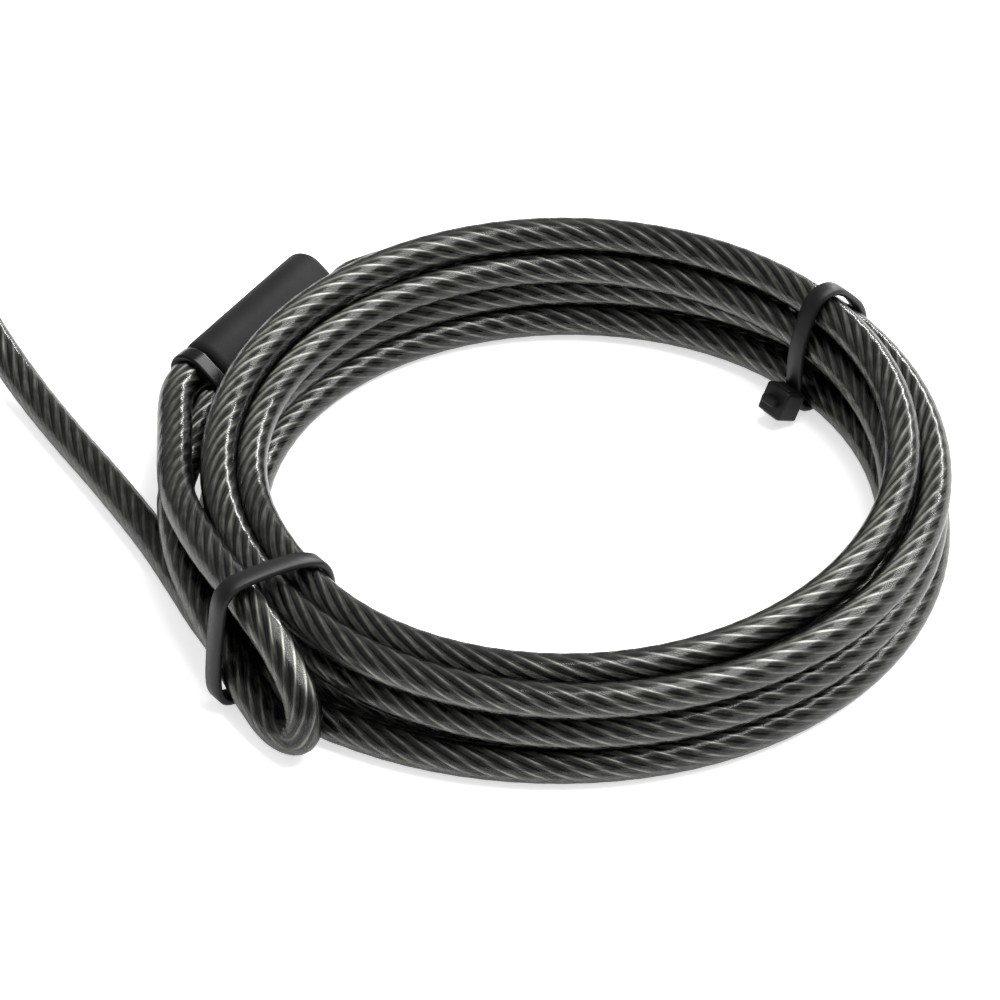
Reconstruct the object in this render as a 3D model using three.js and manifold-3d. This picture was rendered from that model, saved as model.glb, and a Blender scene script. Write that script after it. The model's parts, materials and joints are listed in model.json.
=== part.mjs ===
// Combination cable lock for a laptop computer, with its security cable coiled and tied.
//
// The lock head lies at the origin with its barrel along X, nose towards +X.  A turn knob at the
// rear rotates a T-bar at the nose; four dials free or block a fence bar between them.  A swivel
// collar behind the nose carries the steel cable on a pivot pin.  The cable runs over the table
// to a coil of almost six turns and ends in a crimped loop.  Two nylon ties hold the coil.
//
// Units are millimetres, +Z is up and Z = 0 is the table.

import * as THREE from 'three';
import { mergeVertices } from 'three/addons/utils/BufferGeometryUtils.js';
import Module from 'manifold-3d';

const wasm = await Module();
wasm.setup();

// ---------------------------------------------------------------- driving dimensions

const GAP = 0.3; // between pieces that touch in the real lock

// Lock head: X positions are measured from the middle of the swivel collar, nose towards +X.
const COLLAR_X = 16.15;
const AXIS_Y = 3.5;
const AXIS_HEIGHT = 10;
const BODY_R = 10;

const SPIGOT_R = 7.5; // the collar turns on this
const SPIGOT_FRONT_X = 3.8;
const FLANGE_X = [-6.8, -3.8];
const TUBE_R = 4.5; // core tube that the code rings turn on
const TUBE_BORE_R = 3.1;
const TUBE_END_X = -36;
const GUIDE_WIDTH = 2.4; // slots in the core tube, and gates in the code rings

const NOSE_PLATE_X = [4.1, 6.1];
const PAD_X = [6.4, 7.6];
const PAD_R = 8.5;
const PAD_WINDOW = [7, 3.2];
const SCREW_Z = 5.2; // nose screws stand above and below the axis
const SCREW_HOLE_R = 1;
const SCREW_HEAD_R = 1.4;

// Security slot interface: the standard opening is 7 mm by 3 mm.
const TAB_Y = 2.55;
const TAB_SIZE = [3.5, 1.1, 2.4];
const TBAR_NECK_R = 1.2;
const TBAR_HEAD = [1.6, 6.2, 2.4]; // thickness, length, width
const TBAR_HEAD_X = 10.1;

const DIAL_COUNT = 4;
const DIAL_WIDTH = 5.2;
const DIAL_PITCH = 5.6;
const DIAL_FIRST_X = -7.2; // front face of the first dial
const DIAL_R = 9.7;
const DIAL_NOTCH_R = 9.05;
const DIAL_BORE_R = 7.3;
const DIGITS = 10;
const CODE_RING_R = 7;
const CODE_RING_BORE_R = 4.65;
const CODE_RING_WIDTH = 5;
const GATE_DEPTH = 1.2;
const FALSE_GATE_DEPTH = 0.35;
const KEY_WIDTH = 1.2;
const KEY_HEIGHT = 0.8;

const FENCE_X = [-28.8, -7.6];
const FENCE_Z = [2.3, 3.5, 4.35]; // underside, back of the bar, tips of its teeth
const FENCE_WIDTH = 1.8;
const SHAFT_R = 1.9;
const SPINDLE_TAIL_R = 2;
const REST_DISC_X = [-13.5, -26]; // discs on the spindle under the fence bar
const REST_DISC_WIDTH = 3;

const REAR_CAP_X = [-33.6, -29.6];
const CLIP_GROOVE_X = [-35.1, -33.9];
const CLIP_GROOVE_R = 4;
const CLIP_OUTER_R = 6;
const CLIP_THICKNESS = 0.6;

const KNOB_X = [-44, -34];
const KNOB_R = 9.5;
const KNOB_FLUTE_R = 8.9;
const KNOB_FLUTES = 12;
const KNOB_RECESS = [2.6, 6.6]; // depth, radius
const KNOB_PIN_X = -39.8;
const KNOB_PIN_R = 0.7;
const KNOB_PIN_LENGTH = 17;
const SPINDLE_END_X = -42.4;

// Cable pivot: an eye between the two ears of the collar.
const PIVOT_Y = -13.5;
const EAR_R = 3.5;
const EAR_Z = [2.3, 4.6];
const LUG_ROOT_Y = -8.6;
const EYE_SPACE_DEPTH = 10;
const EYE_SPACE_END_Y = -9.8;
const PIN_R = 1.2;
const PIN_HOLE_R = 1.5;
const PIN_HEAD = [2.1, 0.7];
const EYE_R = 3.2;
const EYE_THICKNESS = 4;
const SHANK_R = 2.2;
const BOOT_X = [5, 16];
const BOOT_R = [3.7, 3];
const CABLE_HEADING = -52; // degrees from +X, seen from above

// Cable: its coil is centred here and all its routes are measured from this point.
const COIL_CENTER = [117, -74];
const CABLE_R = 2.4;
const CABLE_SIDES = 10;

const COIL_OUTER_R = 52;
const COIL_INNER_R = 41.6;
const COIL_FRONT_HEIGHT = 15.6;
const COIL_BACK_HEIGHT = 19.2;
const COIL_CHAMFER = 2.2;
const COIL_INNER_SLOPE = 5; // height of the slope at the inner top edge
const COIL_SEGMENTS = 72;

const TAIL_ROUTE = [
  [-90.6, 50.9, 10],
  [-88.2, 47.7, 9.8],
  [-84.6, 42.6, 7.7],
  [-79.7, 34.9, 4.6],
  [-74.6, 26.6, 2.9],
  [-69.8, 18.6, 2.5],
  [-62.4, 6.5, 2.5],
  [-55.3, -5.3, 2.5],
  [-50.2, -14.2, 2.5],
  [-46.4, -21.6, 2.5],
];

// Both legs of the end loop. It starts and ends at the sleeve's lower end.
const LOOP_ROUTE = [
  [-50.87, 23.09, 10], [-52.3, 20.86, 10], [-53.3, 17.8, 10.1], [-53.5, 13.6, 10.6], [-53.2, 7.6, 11.3],
  [-52.9, 2.2, 12], [-52.6, -3.1, 12.8], [-51.5, -10.9, 14], [-47.3, -22.5, 15.2], [-41.8, -33, 15.4],
  [-36.9, -41, 12.9], [-34.2, -46, 8.6], [-34.6, -46.6, 4.4], [-37.6, -43.6, 2.7], [-41.3, -38.2, 4.1],
  [-44.6, -31.8, 6], [-47.9, -24.2, 7], [-51, -15.5, 7.9], [-52.7, -5, 8], [-52.6, 2, 6.9],
  [-51.7, 9, 5.7], [-50.6, 14.8, 6.2], [-49, 18.74, 7.06], [-47.58, 20.97, 7.06],
];

// Way of the last pass from the bundle to the sleeve's upper end.
const RUN_OUT_ROUTE = [
  [0, 49.3, 12.9], [-6.9, 49.3, 12.4], [-14.2, 49.5, 11], [-21, 49.4, 9.3], [-26.7, 48.9, 7.9],
  [-30.6, 47.4, 7.2], [-31.8, 45.6, 7.06], [-32.4, 44.66, 7.06],
];

// The sleeve's flat oval leans, with its inner side lower.
const SLEEVE_CENTER = [-41.8, 33.6, 8.53];
const SLEEVE_HEADING = 57.3;
const SLEEVE_LEAN = 37;
const SLEEVE_LENGTH = 26.5;
const SLEEVE_WIDTH = 11.2;
const SLEEVE_HEIGHT = 7.2;
const SLEEVE_WALL = 0.9;
const FERRULE_LENGTH = 20;
const LOOP_COLLAR = [2.6, 10.3, 5.5, 0.5]; // length, inner width, inner height, wall

// Ties: closed bands whose inner outline is given as radius from the coil's centre and height.
const TIE_WIDTH = 2.8;
const TIE_THICKNESS = 1;
const FRONT_TIE_ANGLE = 218.5;
const FRONT_TIE_OUTLINE = [
  [41.3, 1.2], [57.4, 1.2], [58.6, 3.8], [58, 11], [56.8, 19], [49.5, 18.4], [44.4, 17.3], [41.2, 15.3], [40.5, 9.5],
];
const REAR_TIE_ANGLE = 38.5;
const REAR_TIE_OUTLINE = [
  [41, 1.2], [51.8, 1.2], [51.9, 13.4], [47.1, 18.8], [43.7, 18.6], [41.2, 11.4],
];
const TIE_HEAD = [3.8, 4.4, 4.2];
const TIE_HEAD_OFFSET = 2.6; // from the strap's inner outline towards the coil's middle
const TIE_HEAD_HEIGHT = 3.4;
const TIE_HEAD_LEAN = 28;
const TIE_STUB_LENGTH = 2.4;

// ---------------------------------------------------------------- materials

function material(color, roughness, metalness) {
  return new THREE.MeshStandardMaterial({ color, roughness, metalness });
}

const zinc = material(0x2b2c2f, 0.42, 0.85);
const nickel = material(0x9b9c9e, 0.3, 0.95);
const steel = material(0x8d8e8c, 0.35, 0.95);
const brass = material(0xb39557, 0.38, 0.9);
const springSteel = material(0x7c7f84, 0.3, 0.95);
const dialPlastic = material(0x1d1e20, 0.45, 0);
const rubber = material(0x232426, 0.85, 0);
const cable = material(0x6c6d68, 0.28, 0.6);
const sleevePlastic = material(0x2a2a2c, 0.7, 0);
const nylon = material(0x1a1a1b, 0.5, 0);

// ---------------------------------------------------------------- solid helpers

// Merges shared vertices and turns the faces outwards.
function closed(geometry) {
  geometry.deleteAttribute('normal');
  geometry.deleteAttribute('uv');
  const merged = mergeVertices(geometry, 1e-4);
  const index = Array.from(merged.index.array);
  const corners = [new THREE.Vector3(), new THREE.Vector3(), new THREE.Vector3()];
  const kept = [];
  let volume = 0;
  for (let i = 0; i < index.length; i += 3) {
    const face = index.slice(i, i + 3);
    if (new Set(face).size < 3) continue;
    kept.push(...face);
    face.forEach((vertex, k) => corners[k].fromBufferAttribute(merged.attributes.position, vertex));
    volume += corners[0].dot(corners[1].clone().cross(corners[2]));
  }
  merged.setIndex(volume < 0 ? kept.reverse() : kept);
  return merged;
}

function toManifold(geometry) {
  const merged = closed(geometry);
  return new wasm.Manifold(new wasm.Mesh({
    numProp: 3,
    vertProperties: new Float32Array(merged.attributes.position.array),
    triVerts: new Uint32Array(merged.index.array),
  }));
}

function toGeometry(solid) {
  const mesh = solid.getMesh();
  const geometry = new THREE.BufferGeometry();
  geometry.setAttribute('position', new THREE.BufferAttribute(new Float32Array(mesh.vertProperties), 3));
  geometry.setIndex(Array.from(mesh.triVerts));
  return geometry;
}

function joined(...geometries) {
  return toGeometry(geometries.map(toManifold).reduce((sum, solid) => sum.add(solid)));
}

function cutBy(geometry, ...tools) {
  return toGeometry(tools.map(toManifold).reduce((rest, tool) => rest.subtract(tool), toManifold(geometry)));
}

// Turned solid about the X axis from [x, radius] points that start and end on the axis,
// or that come back to their first point.
function turned(points, segments = 40) {
  const profile = points.map(([x, radius]) => new THREE.Vector2(radius, x));
  return closed(new THREE.LatheGeometry(profile, segments).rotateZ(-Math.PI / 2));
}

function rodAlongX(x0, x1, radius, segments = 24) {
  return turned([[x0, 0], [x0, radius], [x1, radius], [x1, 0]], segments);
}

// Prism along X with its section given as [y, z] points.
function prismAlongX(x0, x1, outline, holes = []) {
  const toPlane = ([y, z]) => new THREE.Vector2(-z, y);
  const shape = new THREE.Shape(outline.map(toPlane));
  shape.holes = holes.map((hole) => new THREE.Path(hole.map(toPlane)));
  const geometry = new THREE.ExtrudeGeometry(shape, { depth: x1 - x0, bevelEnabled: false });
  return closed(geometry.rotateY(Math.PI / 2).translate(x0, 0, 0));
}

// Prism along Y with its section given as [x, z] points.
function prismAlongY(width, outline, holes = []) {
  const toPlane = ([x, z]) => new THREE.Vector2(x, z);
  const shape = new THREE.Shape(outline.map(toPlane));
  shape.holes = holes.map((hole) => new THREE.Path(hole.map(toPlane)));
  const geometry = new THREE.ExtrudeGeometry(shape, { depth: width, bevelEnabled: false });
  return closed(geometry.rotateX(Math.PI / 2).translate(0, width / 2, 0));
}

// Prism along Z with its section given as [x, y] points.
function prismAlongZ(z0, z1, outline) {
  const shape = new THREE.Shape(outline.map(([x, y]) => new THREE.Vector2(x, y)));
  return closed(new THREE.ExtrudeGeometry(shape, { depth: z1 - z0, bevelEnabled: false }).translate(0, 0, z0));
}

function block(x0, x1, sizeY, sizeZ, y = 0, z = 0) {
  return new THREE.BoxGeometry(x1 - x0, sizeY, sizeZ).translate((x0 + x1) / 2, y, z);
}

function verticalRod(radius, z0, z1, x = 0, y = 0, segments = 24) {
  const rod = new THREE.CylinderGeometry(radius, radius, z1 - z0, segments);
  return rod.rotateX(Math.PI / 2).translate(x, y, (z0 + z1) / 2);
}

function polar(radius, degrees) {
  const angle = THREE.MathUtils.degToRad(degrees);
  return [radius * Math.cos(angle), radius * Math.sin(angle)];
}

// ---------------------------------------------------------------- lock head: fixed barrel

function frontHousing() {
  const turnedBody = turned([
    [SPIGOT_FRONT_X, TUBE_BORE_R], [SPIGOT_FRONT_X, SPIGOT_R], [FLANGE_X[1], SPIGOT_R],
    [FLANGE_X[1], BODY_R - 0.4], [FLANGE_X[1] - 0.4, BODY_R], [FLANGE_X[0], BODY_R],
    [FLANGE_X[0], TUBE_R], [CLIP_GROOVE_X[1], TUBE_R], [CLIP_GROOVE_X[1], CLIP_GROOVE_R],
    [CLIP_GROOVE_X[0], CLIP_GROOVE_R], [CLIP_GROOVE_X[0], TUBE_R], [TUBE_END_X, TUBE_R],
    [TUBE_END_X, TUBE_BORE_R], [SPIGOT_FRONT_X, TUBE_BORE_R],
  ]);
  const slotX = [FENCE_X[0] - 0.4, FENCE_X[1] + 0.4];
  const slot = (side) => block(...slotX, GUIDE_WIDTH, TUBE_R, 0, side * (TUBE_R / 2 + 1.5));
  const screwHole = (side) => rodAlongX(-0.4, SPIGOT_FRONT_X + 1, SCREW_HOLE_R, 20).translate(0, 0, side * SCREW_Z);
  return cutBy(turnedBody, slot(1), slot(-1), screwHole(1), screwHole(-1));
}

function nosePlate() {
  const disc = turned([
    [NOSE_PLATE_X[0], TBAR_NECK_R + GAP], [NOSE_PLATE_X[0], BODY_R], [NOSE_PLATE_X[1] - 0.8, BODY_R],
    [NOSE_PLATE_X[1], BODY_R - 0.8], [NOSE_PLATE_X[1], TBAR_NECK_R + GAP],
    [NOSE_PLATE_X[0], TBAR_NECK_R + GAP],
  ]);
  const tabStart = NOSE_PLATE_X[1] - 0.5;
  const tabEnd = NOSE_PLATE_X[1] + TAB_SIZE[0];
  const tab = (side) => block(tabStart, tabEnd, TAB_SIZE[1], TAB_SIZE[2], side * TAB_Y);
  const hole = (side) => rodAlongX(3, 7, SCREW_HOLE_R, 20).translate(0, 0, side * SCREW_Z);
  const recess = (side) => rodAlongX(5, 7, SCREW_HEAD_R + GAP, 20).translate(0, 0, side * SCREW_Z);
  return cutBy(joined(disc, tab(1), tab(-1)), hole(1), hole(-1), recess(1), recess(-1));
}

function nosePad() {
  const window = block(PAD_X[0] - 1, PAD_X[1] + 1, PAD_WINDOW[0], PAD_WINDOW[1]);
  return cutBy(rodAlongX(...PAD_X, PAD_R, 40), window);
}

function noseScrew() {
  const shankR = SCREW_HOLE_R - GAP;
  return turned([[0.2, 0], [0.2, shankR], [5.3, shankR], [5.3, SCREW_HEAD_R], [6, SCREW_HEAD_R], [6, 0]], 20);
}

function rearCap() {
  return turned([
    [REAR_CAP_X[0], TUBE_R + GAP], [REAR_CAP_X[1], TUBE_R + GAP], [REAR_CAP_X[1], BODY_R - 0.4],
    [REAR_CAP_X[1] - 0.4, BODY_R], [REAR_CAP_X[0] + 0.4, BODY_R], [REAR_CAP_X[0], BODY_R - 0.4],
    [REAR_CAP_X[0], TUBE_R + GAP],
  ]);
}

function retainingRing() {
  const points = [];
  for (let degrees = -60; degrees <= 240; degrees += 15) points.push(polar(CLIP_OUTER_R, degrees));
  for (let degrees = 240; degrees >= -60; degrees -= 15) points.push(polar(CLIP_GROOVE_R + GAP, degrees));
  const x0 = (CLIP_GROOVE_X[0] + CLIP_GROOVE_X[1] - CLIP_THICKNESS) / 2;
  return prismAlongX(x0, x0 + CLIP_THICKNESS, points);
}

// Leaf with one wave under each code ring.
function detentSpring() {
  const thickness = 0.35;
  const upper = [];
  const lower = [];
  const length = FENCE_X[1] - FENCE_X[0];
  const steps = DIAL_COUNT * 6;
  for (let i = 0; i <= steps; i += 1) {
    const x = FENCE_X[0] + (length * i) / steps;
    const wave = 0.3 * Math.cos((2 * Math.PI * (x - DIAL_FIRST_X + DIAL_WIDTH / 2)) / DIAL_PITCH);
    upper.push([x, -3.7 - wave + thickness / 2]);
    lower.unshift([x, -3.7 - wave - thickness / 2]);
  }
  return prismAlongY(FENCE_WIDTH, [...upper, ...lower]);
}

// ---------------------------------------------------------------- lock head: code dials

// Ten faces for the digits, with a finger notch between neighbours.
function dial(frontX) {
  const outline = [];
  for (let digit = 0; digit < DIGITS; digit += 1) {
    const middle = 90 + (360 / DIGITS) * digit;
    for (const offset of [-12.5, -4, 4, 12.5]) outline.push(polar(DIAL_R, middle + offset));
    outline.push(polar(DIAL_NOTCH_R, middle + 180 / DIGITS));
  }
  const keyway = KEY_WIDTH / 2 + GAP;
  const bore = [[-keyway, -(CODE_RING_R + KEY_HEIGHT + GAP)], [keyway, -(CODE_RING_R + KEY_HEIGHT + GAP)]];
  for (let degrees = -82; degrees <= 262; degrees += 8) bore.push(polar(DIAL_BORE_R, degrees));
  return prismAlongX(frontX - DIAL_WIDTH, frontX, outline, [bore]);
}

// One deep gate at the top and nine shallow ones.
function codeRing(frontX) {
  const half = KEY_WIDTH / 2;
  const outline = [[-half, -(CODE_RING_R + KEY_HEIGHT)], [half, -(CODE_RING_R + KEY_HEIGHT)]];
  for (let degrees = -84; degrees <= 264; degrees += 8.7) outline.push(polar(CODE_RING_R, degrees));
  const bore = [];
  const gateHalf = THREE.MathUtils.radToDeg(Math.asin(GUIDE_WIDTH / 2 / CODE_RING_BORE_R));
  for (let digit = 0; digit < DIGITS; digit += 1) {
    const middle = 90 + (360 / DIGITS) * digit;
    const depth = digit === 0 ? GATE_DEPTH : FALSE_GATE_DEPTH;
    const half = digit === 0 ? gateHalf : gateHalf * 0.7;
    const floorHalf = half * (CODE_RING_BORE_R / (CODE_RING_BORE_R + depth));
    bore.push(polar(CODE_RING_BORE_R, middle - half));
    bore.push(polar(CODE_RING_BORE_R + depth, middle - floorHalf));
    bore.push(polar(CODE_RING_BORE_R + depth, middle + floorHalf));
    bore.push(polar(CODE_RING_BORE_R, middle + half));
  }
  const margin = (DIAL_WIDTH - CODE_RING_WIDTH) / 2;
  return prismAlongX(frontX - DIAL_WIDTH + margin, frontX - margin, outline, [bore]);
}

// ---------------------------------------------------------------- lock head: bolt work

// Disc that the fence bar rests on.
function restDisc(x) {
  return rodAlongX(x - REST_DISC_WIDTH / 2, x + REST_DISC_WIDTH / 2, SPINDLE_TAIL_R);
}

function lockSpindle() {
  const journal = TUBE_BORE_R - GAP;
  const shaft = turned([
    [TBAR_HEAD_X + 0.5, 0], [TBAR_HEAD_X + 0.5, TBAR_NECK_R], [3.3, TBAR_NECK_R], [3.3, journal],
    [-3, journal], [-3, SHAFT_R], [-31, SHAFT_R], [-31, journal],
    [-35.6, journal], [-35.6, SPINDLE_TAIL_R], [SPINDLE_END_X, SPINDLE_TAIL_R], [SPINDLE_END_X, 0],
  ], 28);
  const [thickness, length, width] = TBAR_HEAD;
  const half = [length / 2, width / 2];
  const head = prismAlongX(TBAR_HEAD_X, TBAR_HEAD_X + thickness, [
    [half[1], -half[0] + 0.6], [half[1], half[0] - 0.6], [half[1] - 0.6, half[0]], [-half[1] + 0.6, half[0]],
    [-half[1], half[0] - 0.6], [-half[1], -half[0] + 0.6], [-half[1] + 0.6, -half[0]], [half[1] - 0.6, -half[0]],
  ]);
  const crossHole = verticalRod(KNOB_PIN_R + GAP, -5, 5, 0, 0, 16).rotateX(Math.PI / 2).translate(KNOB_PIN_X, 0, 0);
  return cutBy(joined(shaft, head, ...REST_DISC_X.map(restDisc)), crossHole);
}

// Bar with one tooth for each code ring.
function fenceBar() {
  const [under, back, tip] = FENCE_Z;
  const top = [];
  for (let i = DIAL_COUNT - 1; i >= 0; i -= 1) {
    const middle = DIAL_FIRST_X - i * DIAL_PITCH - DIAL_WIDTH / 2;
    top.push([middle - 2.1, back], [middle - 1.7, tip], [middle + 1.7, tip], [middle + 2.1, back]);
  }
  const outline = [[FENCE_X[0], under], [FENCE_X[1], under], [FENCE_X[1], back], ...top.reverse(), [FENCE_X[0], back]];
  return prismAlongY(FENCE_WIDTH, outline);
}

function turnKnob() {
  const outline = [];
  for (let flute = 0; flute < KNOB_FLUTES; flute += 1) {
    const middle = (360 / KNOB_FLUTES) * flute;
    for (const offset of [-9, 0, 9]) outline.push(polar(KNOB_R, middle + offset));
    outline.push(polar(KNOB_FLUTE_R, middle + 180 / KNOB_FLUTES));
  }
  const body = prismAlongX(...KNOB_X, outline);
  const rounding = turned([
    [KNOB_X[0], 0], [KNOB_X[0], KNOB_R - 1.4], [KNOB_X[0] + 0.5, KNOB_R - 0.5],
    [KNOB_X[0] + 1.4, KNOB_R + 0.2], [KNOB_X[1] - 0.6, KNOB_R + 0.2], [KNOB_X[1], KNOB_R - 0.4], [KNOB_X[1], 0],
  ]);
  const shaped = toGeometry(toManifold(body).intersect(toManifold(rounding)));
  const recess = rodAlongX(KNOB_X[1] - KNOB_RECESS[0], KNOB_X[1] + 1, KNOB_RECESS[1], 40);
  const bore = rodAlongX(SPINDLE_END_X - GAP, KNOB_X[1], SPINDLE_TAIL_R + GAP, 28);
  const pinHole = verticalRod(KNOB_PIN_R + GAP, -12, 12, 0, 0, 16).rotateX(Math.PI / 2).translate(KNOB_PIN_X, 0, 0);
  return cutBy(shaped, recess, bore, pinHole);
}

function knobPin() {
  const pin = new THREE.CylinderGeometry(KNOB_PIN_R, KNOB_PIN_R, KNOB_PIN_LENGTH, 16);
  return pin.translate(KNOB_PIN_X, 0, 0);
}

// ---------------------------------------------------------------- lock head: cable swivel

function swivelCollar() {
  const x0 = FLANGE_X[1] + GAP;
  const x1 = SPIGOT_FRONT_X;
  const ring = turned([
    [x0, SPIGOT_R + GAP], [x1, SPIGOT_R + GAP], [x1, BODY_R - 0.3], [x1 - 0.3, BODY_R],
    [x0 + 0.3, BODY_R], [x0, BODY_R - 0.3], [x0, SPIGOT_R + GAP],
  ]);
  const lugOutline = [[EAR_R, LUG_ROOT_Y], [-EAR_R, LUG_ROOT_Y]];
  for (let degrees = 180; degrees <= 360; degrees += 15) {
    const [x, y] = polar(EAR_R, degrees);
    lugOutline.push([x, PIVOT_Y + y]);
  }
  const lug = prismAlongZ(-EAR_Z[1], EAR_Z[1], lugOutline);
  const eyeSpace = block(-8, 8, EYE_SPACE_DEPTH, 2 * EAR_Z[0], EYE_SPACE_END_Y - EYE_SPACE_DEPTH / 2);
  const pinHole = verticalRod(PIN_HOLE_R, -8, 8, 0, PIVOT_Y);
  return cutBy(joined(ring, lug), eyeSpace, pinHole);
}

function pivotPin() {
  const [headR, headHeight] = PIN_HEAD;
  const z = EAR_Z[1] + GAP;
  const rivet = turned([
    [-z - headHeight, 0], [-z - headHeight, headR - 0.4], [-z, headR], [-z, PIN_R],
    [z, PIN_R], [z, headR], [z + headHeight, headR - 0.4], [z + headHeight, 0],
  ], 28);
  return rivet.rotateY(-Math.PI / 2);
}

// Eye and boot are drawn with the cable leaving along +X, the pivot at the origin.
function cableEye() {
  const half = EYE_THICKNESS / 2;
  const shank = rodAlongX(1.8, BOOT_X[0] + 2, SHANK_R, 28);
  return cutBy(joined(verticalRod(EYE_R, -half, half), shank), verticalRod(PIN_HOLE_R, -4, 4));
}

function cableBoot() {
  const [x0, x1] = BOOT_X;
  const socket = SHANK_R + GAP;
  return turned([
    [x0 + 2 + GAP, 0], [x0 + 2 + GAP, socket], [x0, socket], [x0, BOOT_R[0] - 0.4], [x0 + 0.4, BOOT_R[0]],
    [x0 + 3.5, BOOT_R[0]], [x1 - 0.5, BOOT_R[1]], [x1, BOOT_R[1] - 0.4], [x1, 0],
  ], 28);
}

// ---------------------------------------------------------------- cable

function cableTube(route, radius, steps) {
  const corners = Array.from({ length: CABLE_SIDES }, (_, i) => polar(radius, (360 / CABLE_SIDES) * i));
  const section = new THREE.Shape(corners.map(([x, y]) => new THREE.Vector2(x, y)));
  const path = new THREE.CatmullRomCurve3(route.map((point) => new THREE.Vector3(...point)));
  return closed(new THREE.ExtrudeGeometry(section, { steps, extrudePath: path, bevelEnabled: false }));
}

// 0 below the first angle, 1 above the second, a smooth step between.
function ramp(angle, from, to) {
  return THREE.MathUtils.smoothstep(angle, from, to);
}

// Outer shape of the bundle: higher at the back, and drawn in on the left where the loop lies.
function coilBundle() {
  const c = COIL_CHAMFER;
  const profile = [
    [COIL_INNER_R, c], [COIL_INNER_R + c, 0], [COIL_OUTER_R - c, 0], [COIL_OUTER_R, c],
    [COIL_OUTER_R, COIL_FRONT_HEIGHT - c], [COIL_OUTER_R - c, COIL_FRONT_HEIGHT],
    [COIL_INNER_R + c, COIL_FRONT_HEIGHT], [COIL_INNER_R, COIL_FRONT_HEIGHT - COIL_INNER_SLOPE], [COIL_INNER_R, c],
  ];
  const points = profile.map(([radius, height]) => new THREE.Vector2(radius, height));
  const lathe = new THREE.LatheGeometry(points, COIL_SEGMENTS).rotateX(Math.PI / 2);
  const position = lathe.attributes.position;
  for (let i = 0; i < position.count; i += 1) {
    const x = position.getX(i);
    const y = position.getY(i);
    const z = position.getZ(i);
    const angle = (THREE.MathUtils.radToDeg(Math.atan2(y, x)) + 360) % 360;
    const drawnIn = ramp(angle, 100, 148) * (1 - ramp(angle, 204, 207));
    const outward = Math.hypot(x, y) > (COIL_INNER_R + COIL_OUTER_R) / 2;
    const shift = outward ? 0.4 - 3.9 * drawnIn : -1.9 * ramp(angle, 120, 150) * (1 - ramp(angle, 196, 212));
    const scale = (Math.hypot(x, y) + shift) / Math.hypot(x, y);
    const back = (1 + Math.sin(THREE.MathUtils.degToRad(angle))) / 2;
    const rise = z > COIL_FRONT_HEIGHT / 2 ? back * (COIL_BACK_HEIGHT - COIL_FRONT_HEIGHT) : 0;
    position.setXYZ(i, x * scale, y * scale, z + rise);
  }
  return closed(lathe);
}

// ---------------------------------------------------------------- loop fittings and ties

// Oval with flat top and bottom, as [y, z] points.
function flatOval(width, height) {
  const radius = height / 2;
  const reach = width / 2 - radius;
  const outline = [];
  for (let degrees = -90; degrees <= 90; degrees += 20) {
    const [y, z] = polar(radius, degrees);
    outline.push([y + reach, z]);
  }
  for (let degrees = 90; degrees <= 270; degrees += 20) {
    const [y, z] = polar(radius, degrees);
    outline.push([y - reach, z]);
  }
  return outline;
}

function loopSleeve() {
  const half = SLEEVE_LENGTH / 2;
  const hole = flatOval(SLEEVE_WIDTH - 2 * SLEEVE_WALL, SLEEVE_HEIGHT - 2 * SLEEVE_WALL);
  return prismAlongX(-half, half, flatOval(SLEEVE_WIDTH, SLEEVE_HEIGHT), [hole]);
}

// Room for the sleeve and its collar.
function sleeveRoom() {
  const half = SLEEVE_LENGTH / 2 + GAP;
  const outline = flatOval(SLEEVE_WIDTH + 2 * GAP, SLEEVE_HEIGHT + 2 * GAP);
  return prismAlongX(-half - LOOP_COLLAR[0] - GAP, half, outline);
}

function crimpFerrule() {
  const trim = 2 * (SLEEVE_WALL + GAP);
  const outline = flatOval(SLEEVE_WIDTH - trim, SLEEVE_HEIGHT - trim);
  return prismAlongX(-FERRULE_LENGTH / 2, FERRULE_LENGTH / 2, outline);
}

// Oval ring about both legs of the loop, against the sleeve's lower end.
function loopCollar() {
  const [length, width, height, wall] = LOOP_COLLAR;
  const x1 = -SLEEVE_LENGTH / 2 - GAP;
  const outline = flatOval(width + 2 * wall, height + 2 * wall);
  return prismAlongX(x1 - length, x1, outline, [flatOval(width, height)]);
}

// Moves every side of a counter-clockwise outline outwards.
function widened(outline, distance) {
  return outline.map((corner, i) => {
    const previous = outline[(i + outline.length - 1) % outline.length];
    const next = outline[(i + 1) % outline.length];
    const into = new THREE.Vector2(corner[0] - previous[0], corner[1] - previous[1]).normalize();
    const out = new THREE.Vector2(next[0] - corner[0], next[1] - corner[1]).normalize();
    const normal = new THREE.Vector2(into.y + out.y, -into.x - out.x).normalize();
    const reach = distance / (normal.x * into.y - normal.y * into.x);
    return [corner[0] + normal.x * reach, corner[1] + normal.y * reach];
  });
}

// Cuts each corner of an outline into a short curve.
function softened(outline, radius) {
  const path = new THREE.Path();
  outline.forEach((corner, i) => {
    const previous = new THREE.Vector2(...outline[(i + outline.length - 1) % outline.length]);
    const next = new THREE.Vector2(...outline[(i + 1) % outline.length]);
    const here = new THREE.Vector2(...corner);
    const start = here.clone().lerp(previous, Math.min(0.45, radius / here.distanceTo(previous)));
    const end = here.clone().lerp(next, Math.min(0.45, radius / here.distanceTo(next)));
    if (i === 0) path.moveTo(start.x, start.y);
    else path.lineTo(start.x, start.y);
    path.quadraticCurveTo(here.x, here.y, end.x, end.y);
  });
  return path.getPoints(4).map((point) => [point.x, point.y]);
}

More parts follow.
